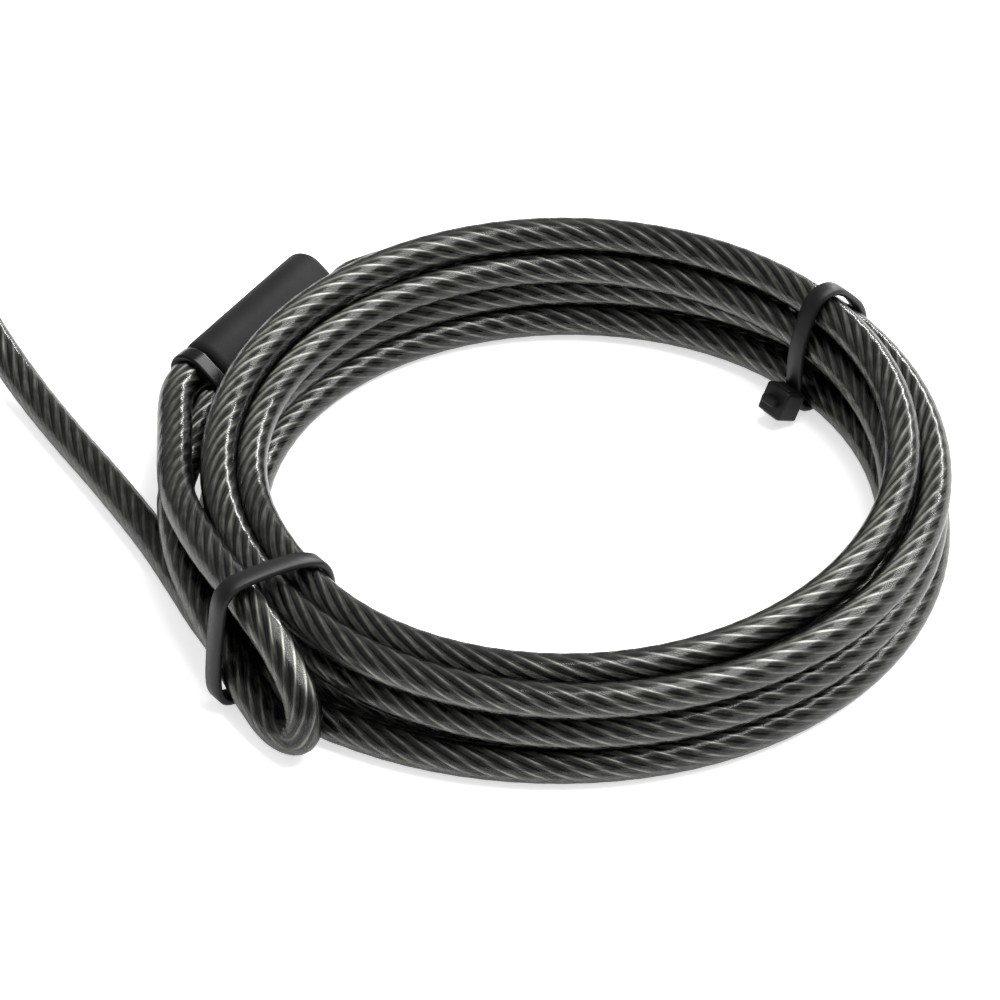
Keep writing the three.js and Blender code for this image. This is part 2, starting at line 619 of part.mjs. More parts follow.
// Band of a tie about the bundle, drawn with the coil's radius along X.
function tieBand(outline, clearance = 0) {
  const inner = softened(widened(outline, -clearance), 2.5 - clearance);
  const outer = softened(widened(outline, TIE_THICKNESS + clearance), 2.5 + TIE_THICKNESS + clearance);
  return prismAlongY(TIE_WIDTH + 2 * clearance, outer, [inner]);
}

// Tie with its head low on the inner side of the coil, and the strap's cut end behind the head.
function cableTie(outline) {
  const [sizeX, sizeY, sizeZ] = TIE_HEAD;
  const head = new THREE.BoxGeometry(sizeX, sizeY, sizeZ);
  const stub = new THREE.BoxGeometry(TIE_STUB_LENGTH, TIE_WIDTH, TIE_THICKNESS);
  stub.translate(-sizeX / 2, 0, 0);
  const lean = THREE.MathUtils.degToRad(TIE_HEAD_LEAN);
  const block = joined(head, stub).rotateY(lean);
  block.translate(outline[0][0] - TIE_HEAD_OFFSET, 0, TIE_HEAD_HEIGHT);
  return joined(tieBand(outline), block);
}

// Turns a shape about Z and moves it, in the coil's own coordinates.
function placed(geometry, degrees, x = 0, y = 0, z = 0) {
  return geometry.rotateZ(THREE.MathUtils.degToRad(degrees)).translate(x, y, z);
}

function leaning(geometry) {
  return geometry.rotateX(THREE.MathUtils.degToRad(SLEEVE_LEAN));
}

// The coil's solid with room for everything that lies against it.
function coilSolid() {
  const bundle = cutBy(
    coilBundle(),
    cableTube(TAIL_ROUTE, CABLE_R + GAP, 12),
    cableTube(LOOP_ROUTE, CABLE_R + GAP, 40),
    placed(leaning(sleeveRoom()), SLEEVE_HEADING, ...SLEEVE_CENTER),
    placed(tieBand(FRONT_TIE_OUTLINE, GAP), FRONT_TIE_ANGLE),
    placed(tieBand(REAR_TIE_OUTLINE, GAP), REAR_TIE_ANGLE),
  );
  return joined(bundle, cableTube(RUN_OUT_ROUTE, CABLE_R, 12));
}

// ---------------------------------------------------------------- assembly

function named(name, geometry, surface) {
  const mesh = new THREE.Mesh(geometry, surface);
  mesh.name = name;
  return mesh;
}

function lockHead() {
  const head = new THREE.Group();
  head.position.set(COLLAR_X, AXIS_Y, AXIS_HEIGHT);
  head.add(named('front_housing', frontHousing(), zinc));
  head.add(named('nose_plate', nosePlate(), nickel));
  head.add(named('nose_pad', nosePad(), rubber));
  [1, -1].forEach((side, i) => {
    const screw = named(`nose_screw_${i + 1}`, noseScrew(), steel);
    screw.position.z = side * SCREW_Z;
    head.add(screw);
  });
  head.add(named('rear_cap', rearCap(), zinc));
  head.add(named('retaining_ring', retainingRing(), springSteel));
  head.add(named('detent_spring', detentSpring(), springSteel));
  for (let i = 0; i < DIAL_COUNT; i += 1) {
    const frontX = DIAL_FIRST_X - i * DIAL_PITCH;
    head.add(named(`dial_${i + 1}`, dial(frontX), dialPlastic));
    head.add(named(`code_ring_${i + 1}`, codeRing(frontX), brass));
  }
  head.add(named('lock_spindle', lockSpindle(), nickel));
  head.add(named('fence_bar', fenceBar(), steel));
  head.add(named('turn_knob', turnKnob(), zinc));
  head.add(named('knob_pin', knobPin(), steel));
  head.add(named('swivel_collar', swivelCollar(), zinc));
  const pin = named('pivot_pin', pivotPin(), steel);
  pin.position.y = PIVOT_Y;
  head.add(pin);
  return head;
}

function cableEnd() {
  const end = new THREE.Group();
  end.position.set(COLLAR_X, AXIS_Y + PIVOT_Y, AXIS_HEIGHT);
  end.rotation.z = THREE.MathUtils.degToRad(CABLE_HEADING);
  end.add(named('cable_eye', cableEye(), nickel));
  end.add(named('cable_boot', cableBoot(), rubber));
  return end;
}

function loopFittings() {
  const fittings = new THREE.Group();
  fittings.position.set(...SLEEVE_CENTER);
  fittings.rotation.z = THREE.MathUtils.degToRad(SLEEVE_HEADING);
  fittings.add(named('loop_sleeve', leaning(loopSleeve()), sleevePlastic));
  fittings.add(named('loop_collar', leaning(loopCollar()), nylon));
  fittings.add(named('crimp_ferrule', leaning(crimpFerrule()), nickel));
  return fittings;
}

function coiledCable() {
  const coil = new THREE.Group();
  coil.position.set(...COIL_CENTER, 0);
  coil.add(named('cable_tail', cableTube(TAIL_ROUTE, CABLE_R, 12), cable));
  coil.add(named('cable_coil', coilSolid(), cable));
  coil.add(named('end_loop', cableTube(LOOP_ROUTE, CABLE_R, 40), cable));
  coil.add(loopFittings());
  const front = named('front_cable_tie', cableTie(FRONT_TIE_OUTLINE), nylon);
  front.rotation.z = THREE.MathUtils.degToRad(FRONT_TIE_ANGLE);
  coil.add(front);
  const rear = named('rear_cable_tie', cableTie(REAR_TIE_OUTLINE), nylon);
  rear.rotation.z = THREE.MathUtils.degToRad(REAR_TIE_ANGLE);
  coil.add(rear);
  return coil;
}

const group = new THREE.Group();
group.add(lockHead(), cableEnd(), coiledCable());

export default group;
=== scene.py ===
# %% [markdown]
# # A combination cable lock with its coiled security cable
#
# The lock has two halves that look very different. The cable is a steel rope inside a clear
# glossy jacket, coiled and held by two nylon ties, and it ends in a loop under a moulded
# sleeve. The lock head is a small barrel with four dials. The CAD model gives every size and
# every moving body, and these cells give each piece its surface.

# %% Load the fixed frame
import json
import math

import bmesh
import bpy
import numpy as np
from mathutils import Matrix, Vector

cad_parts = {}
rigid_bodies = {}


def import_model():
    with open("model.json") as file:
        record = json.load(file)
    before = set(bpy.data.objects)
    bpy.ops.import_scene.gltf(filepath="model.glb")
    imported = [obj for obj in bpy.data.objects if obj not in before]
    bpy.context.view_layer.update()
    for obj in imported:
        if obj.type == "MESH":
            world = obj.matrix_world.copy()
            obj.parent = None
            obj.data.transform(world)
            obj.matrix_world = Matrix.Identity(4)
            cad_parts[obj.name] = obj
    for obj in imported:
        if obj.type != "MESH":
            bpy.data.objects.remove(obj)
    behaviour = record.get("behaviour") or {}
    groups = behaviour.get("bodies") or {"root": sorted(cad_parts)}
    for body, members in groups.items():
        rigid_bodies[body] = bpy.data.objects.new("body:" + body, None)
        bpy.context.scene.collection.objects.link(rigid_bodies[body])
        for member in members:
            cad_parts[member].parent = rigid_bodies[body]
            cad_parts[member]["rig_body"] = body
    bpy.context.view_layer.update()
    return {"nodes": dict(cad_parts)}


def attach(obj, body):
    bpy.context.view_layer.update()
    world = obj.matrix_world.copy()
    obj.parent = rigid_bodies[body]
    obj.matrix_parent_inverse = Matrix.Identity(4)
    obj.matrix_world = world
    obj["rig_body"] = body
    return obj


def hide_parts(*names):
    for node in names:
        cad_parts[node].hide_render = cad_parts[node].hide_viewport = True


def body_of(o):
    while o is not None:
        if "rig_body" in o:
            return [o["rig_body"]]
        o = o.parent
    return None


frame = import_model()
MM = 0.001
GAP = 0.3

# %% [markdown]
# ## Camera
#
# A long lens from about 40 degrees above the table keeps the near and the far side of the
# coil almost the same size. The camera looks along +Y at a point a little to the left of the
# coil's middle, so that the cable runs out of the picture on the left.

# %% Place the camera
COIL_CENTER = Vector((117, -74, 0)) * MM
AIM = COIL_CENTER + Vector((-9.15, 6.3, 0)) * MM
ELEVATION = math.radians(39.2)
CAMERA_DISTANCE = 650 * MM
FIELD_OF_VIEW = math.radians(12.01)

camera = bpy.data.objects.new("camera", bpy.data.cameras.new("camera"))
back_off = Vector((0, -math.cos(ELEVATION), math.sin(ELEVATION)))
camera.location = AIM + back_off * CAMERA_DISTANCE
camera.rotation_euler = (math.pi / 2 - ELEVATION, 0, 0)
camera.data.angle = FIELD_OF_VIEW
camera.data.clip_start = 0.01
bpy.context.collection.objects.link(camera)
bpy.context.scene.camera = camera
print("camera at", [round(c, 3) for c in camera.location])

# %% [markdown]
# ## The route of the cable
#
# A cable has a fixed length and cannot bend sharply, so everything starts from its centre
# line. The stretch between the lock head and the coil and the folded end loop are given lists
# of points. The coil could be a plain helix, but a real hand-wound coil has turns
# that change lanes. So each turn gets a lane, as a column and a row in the bundle, at a few
# angles around the coil, and a loop works out the points in between.

# %% Name the cable's sizes and listed routes
CABLE_R = 2.4
TURN_PITCH = 4.8

TAIL_ROUTE = [
    (-91.8, 52.5, 10), (-90.6, 50.9, 10), (-88.2, 47.7, 9.8), (-84.6, 42.6, 7.7), (-79.7, 34.9, 4.6),
    (-74.6, 26.6, 2.9), (-69.8, 18.6, 2.5), (-62.4, 6.5, 2.5), (-55.7, -5.3, 2.5), (-51.2, -14.6, 2.5),
    (-47.5, -22.4, 2.5), (-42.5, -30.6, 2.5),
]
LOOP_ROUTE = [
    (-50.2, 24.1, 10), (-50.87, 23.09, 10), (-52.3, 20.86, 10), (-53.3, 17.8, 10.1), (-53.5, 13.6, 10.6),
    (-53.2, 7.6, 11.3), (-52.9, 2.2, 12), (-52.6, -3.1, 12.8), (-51.5, -10.9, 14), (-47.3, -22.5, 15.2),
    (-41.8, -33, 15.4), (-36.9, -41, 12.9), (-34.2, -46, 8.6), (-34.6, -46.6, 4.4), (-37.6, -43.6, 2.7),
    (-41.3, -38.2, 4.1), (-44.6, -31.8, 6), (-47.9, -24.2, 7), (-51, -15.5, 7.9), (-52.7, -5, 8),
    (-52.6, 2, 6.9), (-51.7, 9, 5.7), (-50.6, 14.8, 6.2), (-49, 18.74, 7.06), (-47.58, 20.97, 7.06),
    (-46.9, 22, 7.06),
]
RUN_OUT_ROUTE = [
    (0, 49.3, 12.9), (-6.9, 49.3, 12.4), (-14.2, 49.5, 11), (-21, 49.4, 9.3), (-26.7, 48.9, 7.9),
    (-30.6, 47.4, 7.2), (-31.8, 45.6, 7.06), (-32.4, 44.66, 7.06), (-33.3, 43.3, 7.06),
]

# Lanes of the passes, first wound to last: (column, row), with column 0 at the inner radius.
INNER_LANE_R = 44.2
COLUMN_STEP = 5.0
ROW_STEP = 4.9
LANES = {
    222: [(1.74, 0.02), (0.26, 0.14), (0.96, 1.1), (-0.06, 1.18), (0.1, 2.14), (1.0, 2.36)],
    240: [(1.4, 0.02), (0.2, 0.04), (1.0, 1.1), (0.02, 1.1), (0.26, 2.14), (1.22, 2.2)],
    262: [(1.02, 0), (0.02, 0), (1.02, 1), (0.02, 1.06), (0.04, 2.14), (1, 2.02)],
    320: [(1.12, 0), (0, 0), (1.08, 1), (0, 1.02), (-0.08, 2.29), (1, 2.02)],
    360: [(0.98, 0), (0, 0), (0.94, 1), (0, 1.27), (0.06, 2.61), (0.92, 1.96)],
    399: [(1.02, 0.26), (0, 0.26), (0.64, 1.1), (-0.02, 1.84), (0.4, 2.82), (0.98, 2.06)],
    450: [(1.02, 0), (0, 0), (0, 1), (-0.04, 2), (0.16, 2.9), (1.02, 2.14)],
    495: [(0.96, 0), (-0.04, 0), (-0.04, 1), (-0.22, 2), (0.38, 2.78)],
    540: [(0.48, 0), (-0.48, 0), (0.28, 0.98), (-0.3, 1.67), (0.28, 2.42)],
    562: [(0.36, 0.1), (-0.34, 0.6), (0.4, 1.1), (-0.1, 1.85), (0.46, 2.5)],
}
PASSES = max(len(lanes) for lanes in LANES.values())
ENTRY_ANGLE = 232
ANGLE_STEP = 5.0

# %% [markdown]
# Between the lanes the turns slide over each other until they rest a diameter apart. The
# settling below works in small rounds. Each round pushes apart the turns that are closer than
# the pitch, pulls every turn a little back to its lane, and smooths it, which is how a springy
# cable finds its place under a tie.

# %% Wind the coil and let its turns settle
SETTLE_ROUNDS = 300
SETTLE_PUSH = 0.42
SETTLE_HOLD = 0.012
FLOOR_CLEARANCE = 0.05


def wound_turns():
    """Angle, radius and height along the whole coil, in degrees and millimetres."""
    angles, radii, heights = [], [], []
    for turn in range(PASSES):
        for station, lanes in LANES.items():
            if turn < len(lanes):
                column, row = lanes[turn]
                angles.append(station + 360 * turn)
                radii.append(INNER_LANE_R + column * COLUMN_STEP)
                heights.append(CABLE_R + row * ROW_STEP)
    along = np.arange(angles[0], angles[-1] + ANGLE_STEP / 2, ANGLE_STEP)
    return along, eased(along, angles, radii), eased(along, angles, heights)


def eased(along, stations, values):
    """Values between stations on a smooth step, so that a turn stays in its lane at each."""
    index = np.clip(np.searchsorted(stations, along, side="right") - 1, 0, len(stations) - 2)
    stations, values = np.array(stations, float), np.array(values, float)
    t = np.clip((along - stations[index]) / (stations[index + 1] - stations[index]), 0, 1)
    t = 0.5 * t + 0.5 * t * t * (3 - 2 * t)
    return values[index] + (values[index + 1] - values[index]) * t


def settled(radii, heights):
    """The turns' radii and heights once they rest beside each other on the floor."""
    per_turn = round(360 / ANGLE_STEP)
    wanted = radii.copy(), heights.copy()
    for _ in range(SETTLE_ROUNDS):
        move_r, move_z = np.zeros_like(radii), np.zeros_like(heights)
        for apart in range(1, PASSES):
            low = slice(0, len(radii) - apart * per_turn)
            high = slice(apart * per_turn, None)
            dr, dz = radii[high] - radii[low], heights[high] - heights[low]
            distance = np.hypot(dr, dz) + 1e-9
            push = SETTLE_PUSH * np.clip(TURN_PITCH - distance, 0, None) / distance
            for move, step in ((move_r, push * dr), (move_z, push * dz)):
                move[low] -= step
                move[high] += step
        radii = radii + move_r + SETTLE_HOLD * (wanted[0] - radii)
        heights = heights + move_z + SETTLE_HOLD * (wanted[1] - heights)
        for line in (radii, heights):
            line[1:-1] = 0.5 * line[1:-1] + 0.25 * (line[:-2] + line[2:])
        heights = np.maximum(heights, CABLE_R + FLOOR_CLEARANCE)
    return radii, heights


turn_angles, turn_radii, turn_heights = wound_turns()
turn_radii, turn_heights = settled(turn_radii, turn_heights)
around = np.radians(turn_angles)
coil_points = np.stack([turn_radii * np.cos(around), turn_radii * np.sin(around), turn_heights], axis=1)
print("coil runs through", round((turn_angles[-1] - turn_angles[0]) / 360, 2), "turns")

# %% [markdown]
# The last pass leaves the bundle at the back and runs into the sleeve's upper end. A curve
# through all the points joins the stretches. Centripetal spacing of its knots keeps it free of
# loops where the listed points are uneven.

# %% Join the stretches and space their points evenly
LEAVE_ANGLE = 445
STEPS_PER_SPAN = 24
MAIN_SPACING, LOOP_SPACING = 0.9, 0.7


def even_path(points, spacing):
    """Points at even spacing on a centripetal Catmull-Rom curve, in metres in the row frame."""
    p = np.array(points, float)
    p = np.vstack([2 * p[0] - p[1], p, 2 * p[-1] - p[-2]])
    knots = np.concatenate([[0], np.cumsum(np.sqrt(np.linalg.norm(np.diff(p, axis=0), axis=1)))])
    dense = []
    for i in range(1, len(p) - 2):
        t0, t1, t2, t3 = knots[i - 1:i + 3]
        t = np.linspace(t1, t2, STEPS_PER_SPAN, endpoint=False)[:, None]
        a1 = (t1 - t) / (t1 - t0) * p[i - 1] + (t - t0) / (t1 - t0) * p[i]
        a2 = (t2 - t) / (t2 - t1) * p[i] + (t - t1) / (t2 - t1) * p[i + 1]
        a3 = (t3 - t) / (t3 - t2) * p[i + 1] + (t - t2) / (t3 - t2) * p[i + 2]
        b1 = (t2 - t) / (t2 - t0) * a1 + (t - t0) / (t2 - t0) * a2
        b2 = (t3 - t) / (t3 - t1) * a2 + (t - t1) / (t3 - t1) * a3
        dense.append((t2 - t) / (t2 - t1) * b1 + (t - t1) / (t2 - t1) * b2)
    dense = np.vstack(dense + [p[-2][None]])
    reach = np.concatenate([[0], np.cumsum(np.linalg.norm(np.diff(dense, axis=0), axis=1))])
    count = round(reach[-1] / spacing) + 1
    marks = np.linspace(0, reach[-1], count)
    line = np.stack([np.interp(marks, reach, dense[:, k]) for k in range(3)], axis=1)
    return line * MM + np.array(COIL_CENTER)


wound = (turn_angles >= ENTRY_ANGLE) & (turn_angles <= LEAVE_ANGLE + (PASSES - 1) * 360)
main_points = np.vstack([TAIL_ROUTE, coil_points[wound], RUN_OUT_ROUTE])
main_path = even_path(main_points, MAIN_SPACING)
loop_path = even_path(LOOP_ROUTE, LOOP_SPACING)


def run_length(path):
    """Length along a path, in its own unit."""
    return float(np.linalg.norm(np.diff(path, axis=0), axis=1).sum())


print("main cable", round(run_length(main_path), 3), "m, end loop", round(run_length(loop_path), 3), "m")

# %% [markdown]
# ## Sweeping a section along the route
#
# A bevelled curve would give a round tube at once. The rope inside the jacket needs more: eight
# strands that twist about the centre line. So one function carries a section along the path
# on a frame that never spins by itself, and turns the section by a twist for every metre.

# %% Sweep a section with a twist
def travelling_frame(path):
    """Tangent, side and top directions along a path, turned as little as possible."""
    tangent = np.gradient(path, axis=0)
    tangent /= np.linalg.norm(tangent, axis=1)[:, None]
    side = np.empty_like(path)
    first = np.cross(tangent[0], (0, 0, 1))
    side[0] = first / np.linalg.norm(first)
    for i in range(1, len(path)):
        carried = side[i - 1] - tangent[i] * np.dot(side[i - 1], tangent[i])
        side[i] = carried / np.linalg.norm(carried)
    return tangent, side, np.cross(tangent, side)


def swept_mesh(name, path, radii, angles, twist):
    """Closed tube along path. Its section has a radius at each angle, and turns by the twist."""
    _, side, top = travelling_frame(path)
    reach = np.concatenate([[0], np.cumsum(np.linalg.norm(np.diff(path, axis=0), axis=1))])
    radii = np.asarray(radii, float) * MM
    angle = np.asarray(angles)[None, :] + twist * reach[:, None]
    outward = (np.cos(angle)[..., None] * side[:, None, :]
               + np.sin(angle)[..., None] * top[:, None, :])
    points = path[:, None, :] + radii[None, :, None] * outward
    rows, columns = len(path), len(radii)
    mesh = bpy.data.meshes.new(name)
    grid = np.arange(rows * columns).reshape(rows, columns)
    quads = np.stack([grid[:-1], np.roll(grid[:-1], -1, 1), np.roll(grid[1:], -1, 1), grid[1:]],
                     axis=-1)
    faces = quads.reshape(-1, 4).tolist()
    faces += [grid[0][::-1].tolist(), grid[-1].tolist()]
    mesh.from_pydata(points.reshape(-1, 3).tolist(), [], faces)
    mesh.polygons.foreach_set("use_smooth", [True] * len(mesh.polygons))
    return mesh


def linked(name, mesh):
    """New object with this data, linked to the scene."""
    obj = bpy.data.objects.new(name, mesh)
    bpy.context.collection.objects.link(obj)
    return obj


# %% [markdown]
# ## The steel rope
#
# The rope has eight outer strands laid right-handed, and each one shows three of its wires.
# A strand comes round every 3.3 mm along the rope, so one full turn of the lay takes 26.4 mm.
# How much light a point of the section catches is kept as an attribute, and the shader uses
# it to paint shade into the gaps between wires and the valleys between strands.

# %% Work out the rope's section
ROPE_R = 2.28
STRANDS = 8
STRAND_SPACING = 3.3
WIRE_ANGLE = 35
WIRE_GROOVE = 0.16
# Painted shade across a strand: 1 keeps the steel tone on the middle wire, lower values darken the grooves
# and the side wires, and 0 is the black valley between strands.
WIRE_LIGHT = {0: 1.0, 1: 0.3, 2: 0.55, 3: 0.0}
WIRE_STEPS = range(-3, 4)
LAY_TWIST = 2 * math.pi / (STRANDS * STRAND_SPACING * MM)


def rope_section():
    """Radii and angles of the rope's outline. Strands touch, and each shows three wires."""
    reach = math.sin(math.pi / STRANDS)
    strand_r = ROPE_R * reach / (1 + reach)
    orbit = ROPE_R - strand_r
    radii, angles = [], []
    for strand in range(STRANDS):
        middle = 2 * math.pi * strand / STRANDS
        for step in WIRE_STEPS:
            turn = math.radians(step * WIRE_ANGLE)
            here = strand_r * (1 - WIRE_GROOVE * (step % 2))
            x = orbit + here * math.cos(turn)
            y = here * math.sin(turn)
            radii.append(math.hypot(x, y))
            angles.append(middle + math.atan2(y, x))
    return radii, angles


rope_radii, rope_angles = rope_section()


def rope_along(name, path):
    """The rope's mesh along a path, with the light of each point as its crown attribute."""
    mesh = swept_mesh(name, path, rope_radii, rope_angles, LAY_TWIST)
    height = mesh.attributes.new("crown", "FLOAT", "POINT")
    crown = [WIRE_LIGHT[abs(step)] for step in WIRE_STEPS] * STRANDS
    height.data.foreach_set("value", np.tile(crown, len(path)))
    return linked(name, mesh)


main_rope = rope_along("steel_rope", main_path)
loop_rope = rope_along("loop_steel_rope", loop_path)
print("rope faces:", len(main_rope.data.polygons) + len(loop_rope.data.polygons))

# %% [markdown]
# ## The clear jacket
#
# The jacket is a tube of clear PVC, 4.8 mm across. It is extruded over the rope and shrinks a
# little into the valleys, so long highlights on it waver where the strands pass below.

JACKET_SIDES = 6 * STRANDS
JACKET_RIPPLE = 0.03


def jacket_along(name, path):
    """The jacket's mesh along a path, sunk a little over each valley of the rope."""
    turns = np.linspace(0, 2 * math.pi, JACKET_SIDES, endpoint=False)
    radii = CABLE_R - JACKET_RIPPLE * (1 - np.cos(STRANDS * turns)) / 2
    return linked(name, swept_mesh(name, path, radii, turns, LAY_TWIST))


main_jacket = jacket_along("cable_jacket", main_path)
loop_jacket = jacket_along("loop_cable_jacket", loop_path)

# %% [markdown]
# ## Materials
#
# Colours are sRGB hex values, turned to linear by one function. One small function adds a
# node, sets its properties and links its inputs. Everything else is a short recipe for each
# real material.

# %% Colour and node helpers
def srgb(text):
    """Linear colour with alpha from a hex text such as 2a2b2d."""
    parts = [int(text[i:i + 2], 16) / 255 for i in (0, 2, 4)]
    return (*[c / 12.92 if c <= 0.04045 else ((c + 0.055) / 1.055) ** 2.4 for c in parts], 1.0)


def add(tree, kind, values=None, **settings):
    """A new node with its properties set and its inputs set or linked."""
    node = tree.nodes.new("ShaderNode" + kind)
    for name, value in settings.items():
        setattr(node, name, value)
    for socket, value in (values or {}).items():
        if isinstance(value, bpy.types.NodeSocket):
            tree.links.new(value, node.inputs[socket])
        else:
            node.inputs[socket].default_value = value
    return node


def blank_material(name):
    """A new material and its empty node tree."""
    material = bpy.data.materials.new(name)
    material.use_nodes = True
    material.node_tree.nodes.clear()
    return material, material.node_tree


def finished_with(tree, shader):
    add(tree, "OutputMaterial", {"Surface": shader.outputs[0]})


# %% [markdown]
# Galvanised steel wire is a mid grey metal with a slightly warm tone. Drawing leaves it
# smooth, and zinc and old grease make it patchy, so colour and roughness wander over about
# 2 mm. The valleys between strands get painted shade, almost black, and the grooves between
# wires a lighter painted shade. A noise texture repeats its lumps about
# once per unit of its scale, so a scale in metres is 1000 divided by the lumps' size in
# millimetres. The scales of all patterns below were worked out in this way.

# %% Galvanised steel rope
PATCH_SCALE = 480.0  # patches of 2 mm


def galvanised_rope():
    """Grey zinc on the wires, painted shade in the gaps."""
    material, tree = blank_material("galvanised_steel_rope")
    crown = add(tree, "Attribute", attribute_name="crown")
    place = add(tree, "TexCoord")
    patches = add(tree, "TexNoise", {"Vector": place.outputs["Object"], "Scale": PATCH_SCALE, "Detail": 3.0})
    unshaded_share = add(tree, "MapRange", {
        "Value": crown.outputs["Fac"], "From Min": 0.05, "From Max": 0.95})
    tone = add(tree, "ValToRGB", {"Fac": patches.outputs["Fac"]})
    tone.color_ramp.elements[0].color = srgb("727370")
    tone.color_ramp.elements[0].position = 0.3
    tone.color_ramp.elements[1].color = srgb("b2b3af")
    tone.color_ramp.elements[1].position = 0.75
    # Painted shade: the crown attribute mixes the gaps and valleys towards near black.
    colour = add(tree, "Mix", {0: unshaded_share.outputs[0], 6: srgb("0b0b0a"), 7: tone.outputs[0]},
                 data_type="RGBA")
    rough = add(tree, "MapRange", {"Value": patches.outputs["Fac"], "To Min": 0.32, "To Max": 0.48})
    shader = add(tree, "BsdfPrincipled", {
        "Base Color": colour.outputs[2], "Metallic": 0.9, "Roughness": rough.outputs[0]})
    finished_with(tree, shader)
    return material


rope_steel = galvanised_rope()
for rope in (main_rope, loop_rope):
    rope.data.materials.append(rope_steel)

# %% [markdown]
# Clear plasticised PVC is a gloss skin that hides nothing. A full glass shader would keep
# light from the lamps off the rope, so the skin is a mix instead: transparent where it is
# seen face on, and a soft reflection where the Fresnel law says that it mirrors. Towards its
# outline the eye looks through more of the plastic, so the clear part is darker there.

# %% Clear PVC jacket
def clear_jacket():
    """Clear skin whose mirror and depth both follow the Fresnel factor."""
    material, tree = blank_material("clear_pvc_jacket")
    fresnel = add(tree, "Fresnel", {"IOR": 1.5})
    mirror = add(tree, "MapRange", {"Value": fresnel.outputs[0], "From Max": 0.5, "To Max": 0.28})
    depth = add(tree, "ValToRGB", {"Fac": fresnel.outputs[0]})
    depth.color_ramp.elements[0].color = srgb("e6e6e2")
    depth.color_ramp.elements[0].position = 0.05
    depth.color_ramp.elements[1].color = srgb("545552")
    depth.color_ramp.elements[1].position = 0.3
    clear = add(tree, "BsdfTransparent", {"Color": depth.outputs[0]})
    gloss = add(tree, "BsdfPrincipled", {
        "Base Color": srgb("f2f3f0"), "Metallic": 1.0, "Roughness": 0.21})
    shader = add(tree, "MixShader", {0: mirror.outputs[0], 1: clear.outputs[0], 2: gloss.outputs[0]})
    finished_with(tree, shader)
    return material


jacket_pvc = clear_jacket()
for jacket in (main_jacket, loop_jacket):
    jacket.data.materials.append(jacket_pvc)

# %% [markdown]
# The solid black pieces differ mainly in gloss and grain. Moulded PVC is matt with a fine
# sparked grain, nylon has a soft sheen and flow marks, EPDM rubber is dull and dusty, and
# acetal dials are smooth.

# %% Black plastics and rubber
CLOUD_SCALE = 160.0  # flow marks of 6 mm
GRAIN_HEIGHT = 0.05 * MM


def moulded(name, dark, light, roughness, grain_mm, bump, gloss=0.2):
    """Plastic from a mould: two close tones, and a grain of the given size."""
    material, tree = blank_material(name)
    place = add(tree, "TexCoord")
    clouds = add(tree, "TexNoise", {"Vector": place.outputs["Object"], "Scale": CLOUD_SCALE, "Detail": 4.0})
    grain = add(tree, "TexNoise", {
        "Vector": place.outputs["Object"], "Scale": 1000.0 / grain_mm, "Detail": 2.0})
    tone = add(tree, "ValToRGB", {"Fac": clouds.outputs["Fac"]})
    tone.color_ramp.elements[0].color = srgb(dark)
    tone.color_ramp.elements[0].position = 0.35
    tone.color_ramp.elements[1].color = srgb(light)
    tone.color_ramp.elements[1].position = 0.7
    rough = add(tree, "MapRange", {
        "Value": grain.outputs["Fac"], "To Min": roughness - 0.06, "To Max": roughness + 0.08})
    relief = add(tree, "Bump", {
        "Height": grain.outputs["Fac"], "Strength": bump, "Distance": GRAIN_HEIGHT})
    shader = add(tree, "BsdfPrincipled", {
        "Base Color": tone.outputs[0], "Roughness": rough.outputs[0], "IOR": 1.5,
        "Specular IOR Level": gloss, "Normal": relief.outputs[0]})
    finished_with(tree, shader)
    return material


sleeve_pvc = moulded("moulded_pvc_charcoal", "161617", "1d1d1e", 0.62, 0.35, 0.5, gloss=0.1)
collar_gloss = moulded("gloss_abs_black", "060607", "0b0b0c", 0.25, 0.6, 0.1)
tie_nylon = moulded("moulded_nylon_black", "0c0c0d", "131314", 0.45, 0.5, 0.35, gloss=0.22)
epdm = moulded("moulded_epdm_rubber", "19191a", "252526", 0.8, 0.25, 0.6)
acetal = moulded("acetal_black", "151517", "1e1e20", 0.34, 0.4, 0.15)
print("plastics ready")

# %% [markdown]
# ## Lofting rings
#
# Most of the small pieces are rings of points joined along an axis: the sleeve, the dials, the
# knob and the boot. One function skins them. It closes a solid with caps, or joins the last
# ring to the first where the piece is a tube.

# %% Skin over rings along an axis
LOFT_CREASE = math.radians(38)


def lofted(name, stations, place, material, tube=False):
    """Each station is a distance along X and its ring of (y, z) points, in millimetres."""
    rings = [np.column_stack([np.full(len(ring), along), ring]) for along, ring in stations]
    points = np.vstack(rings) * MM
    grid = np.arange(len(points)).reshape(len(rings), len(rings[0]))
    onward = np.roll(grid, -1, 0)
    quads = np.stack([grid, np.roll(grid, -1, 1), np.roll(onward, -1, 1), onward], axis=-1)
    if tube:
        faces = quads.reshape(-1, 4).tolist()
    else:
        faces = quads[:-1].reshape(-1, 4).tolist() + [grid[0][::-1].tolist(), grid[-1].tolist()]
    mesh = bpy.data.meshes.new(name)
    mesh.from_pydata([place @ Vector(p) for p in points], [], faces)
    mesh.polygons.foreach_set("use_smooth", [True] * len(mesh.polygons))
    mesh.set_sharp_from_angle(angle=LOFT_CREASE)
    mesh.materials.append(material)
    return linked(name, mesh)


# %% [markdown]
# ## Sleeve and mouth ring
#
# The sleeve is a moulded flat oval that holds two lengths of cable side by side over the
# crimp. It leans, with its inner side lower, as the stiff cable twists it. Smaller ovals at
# both ends round its rims as the mould does. A gloss ring closes the mouth where the loop
# leaves.

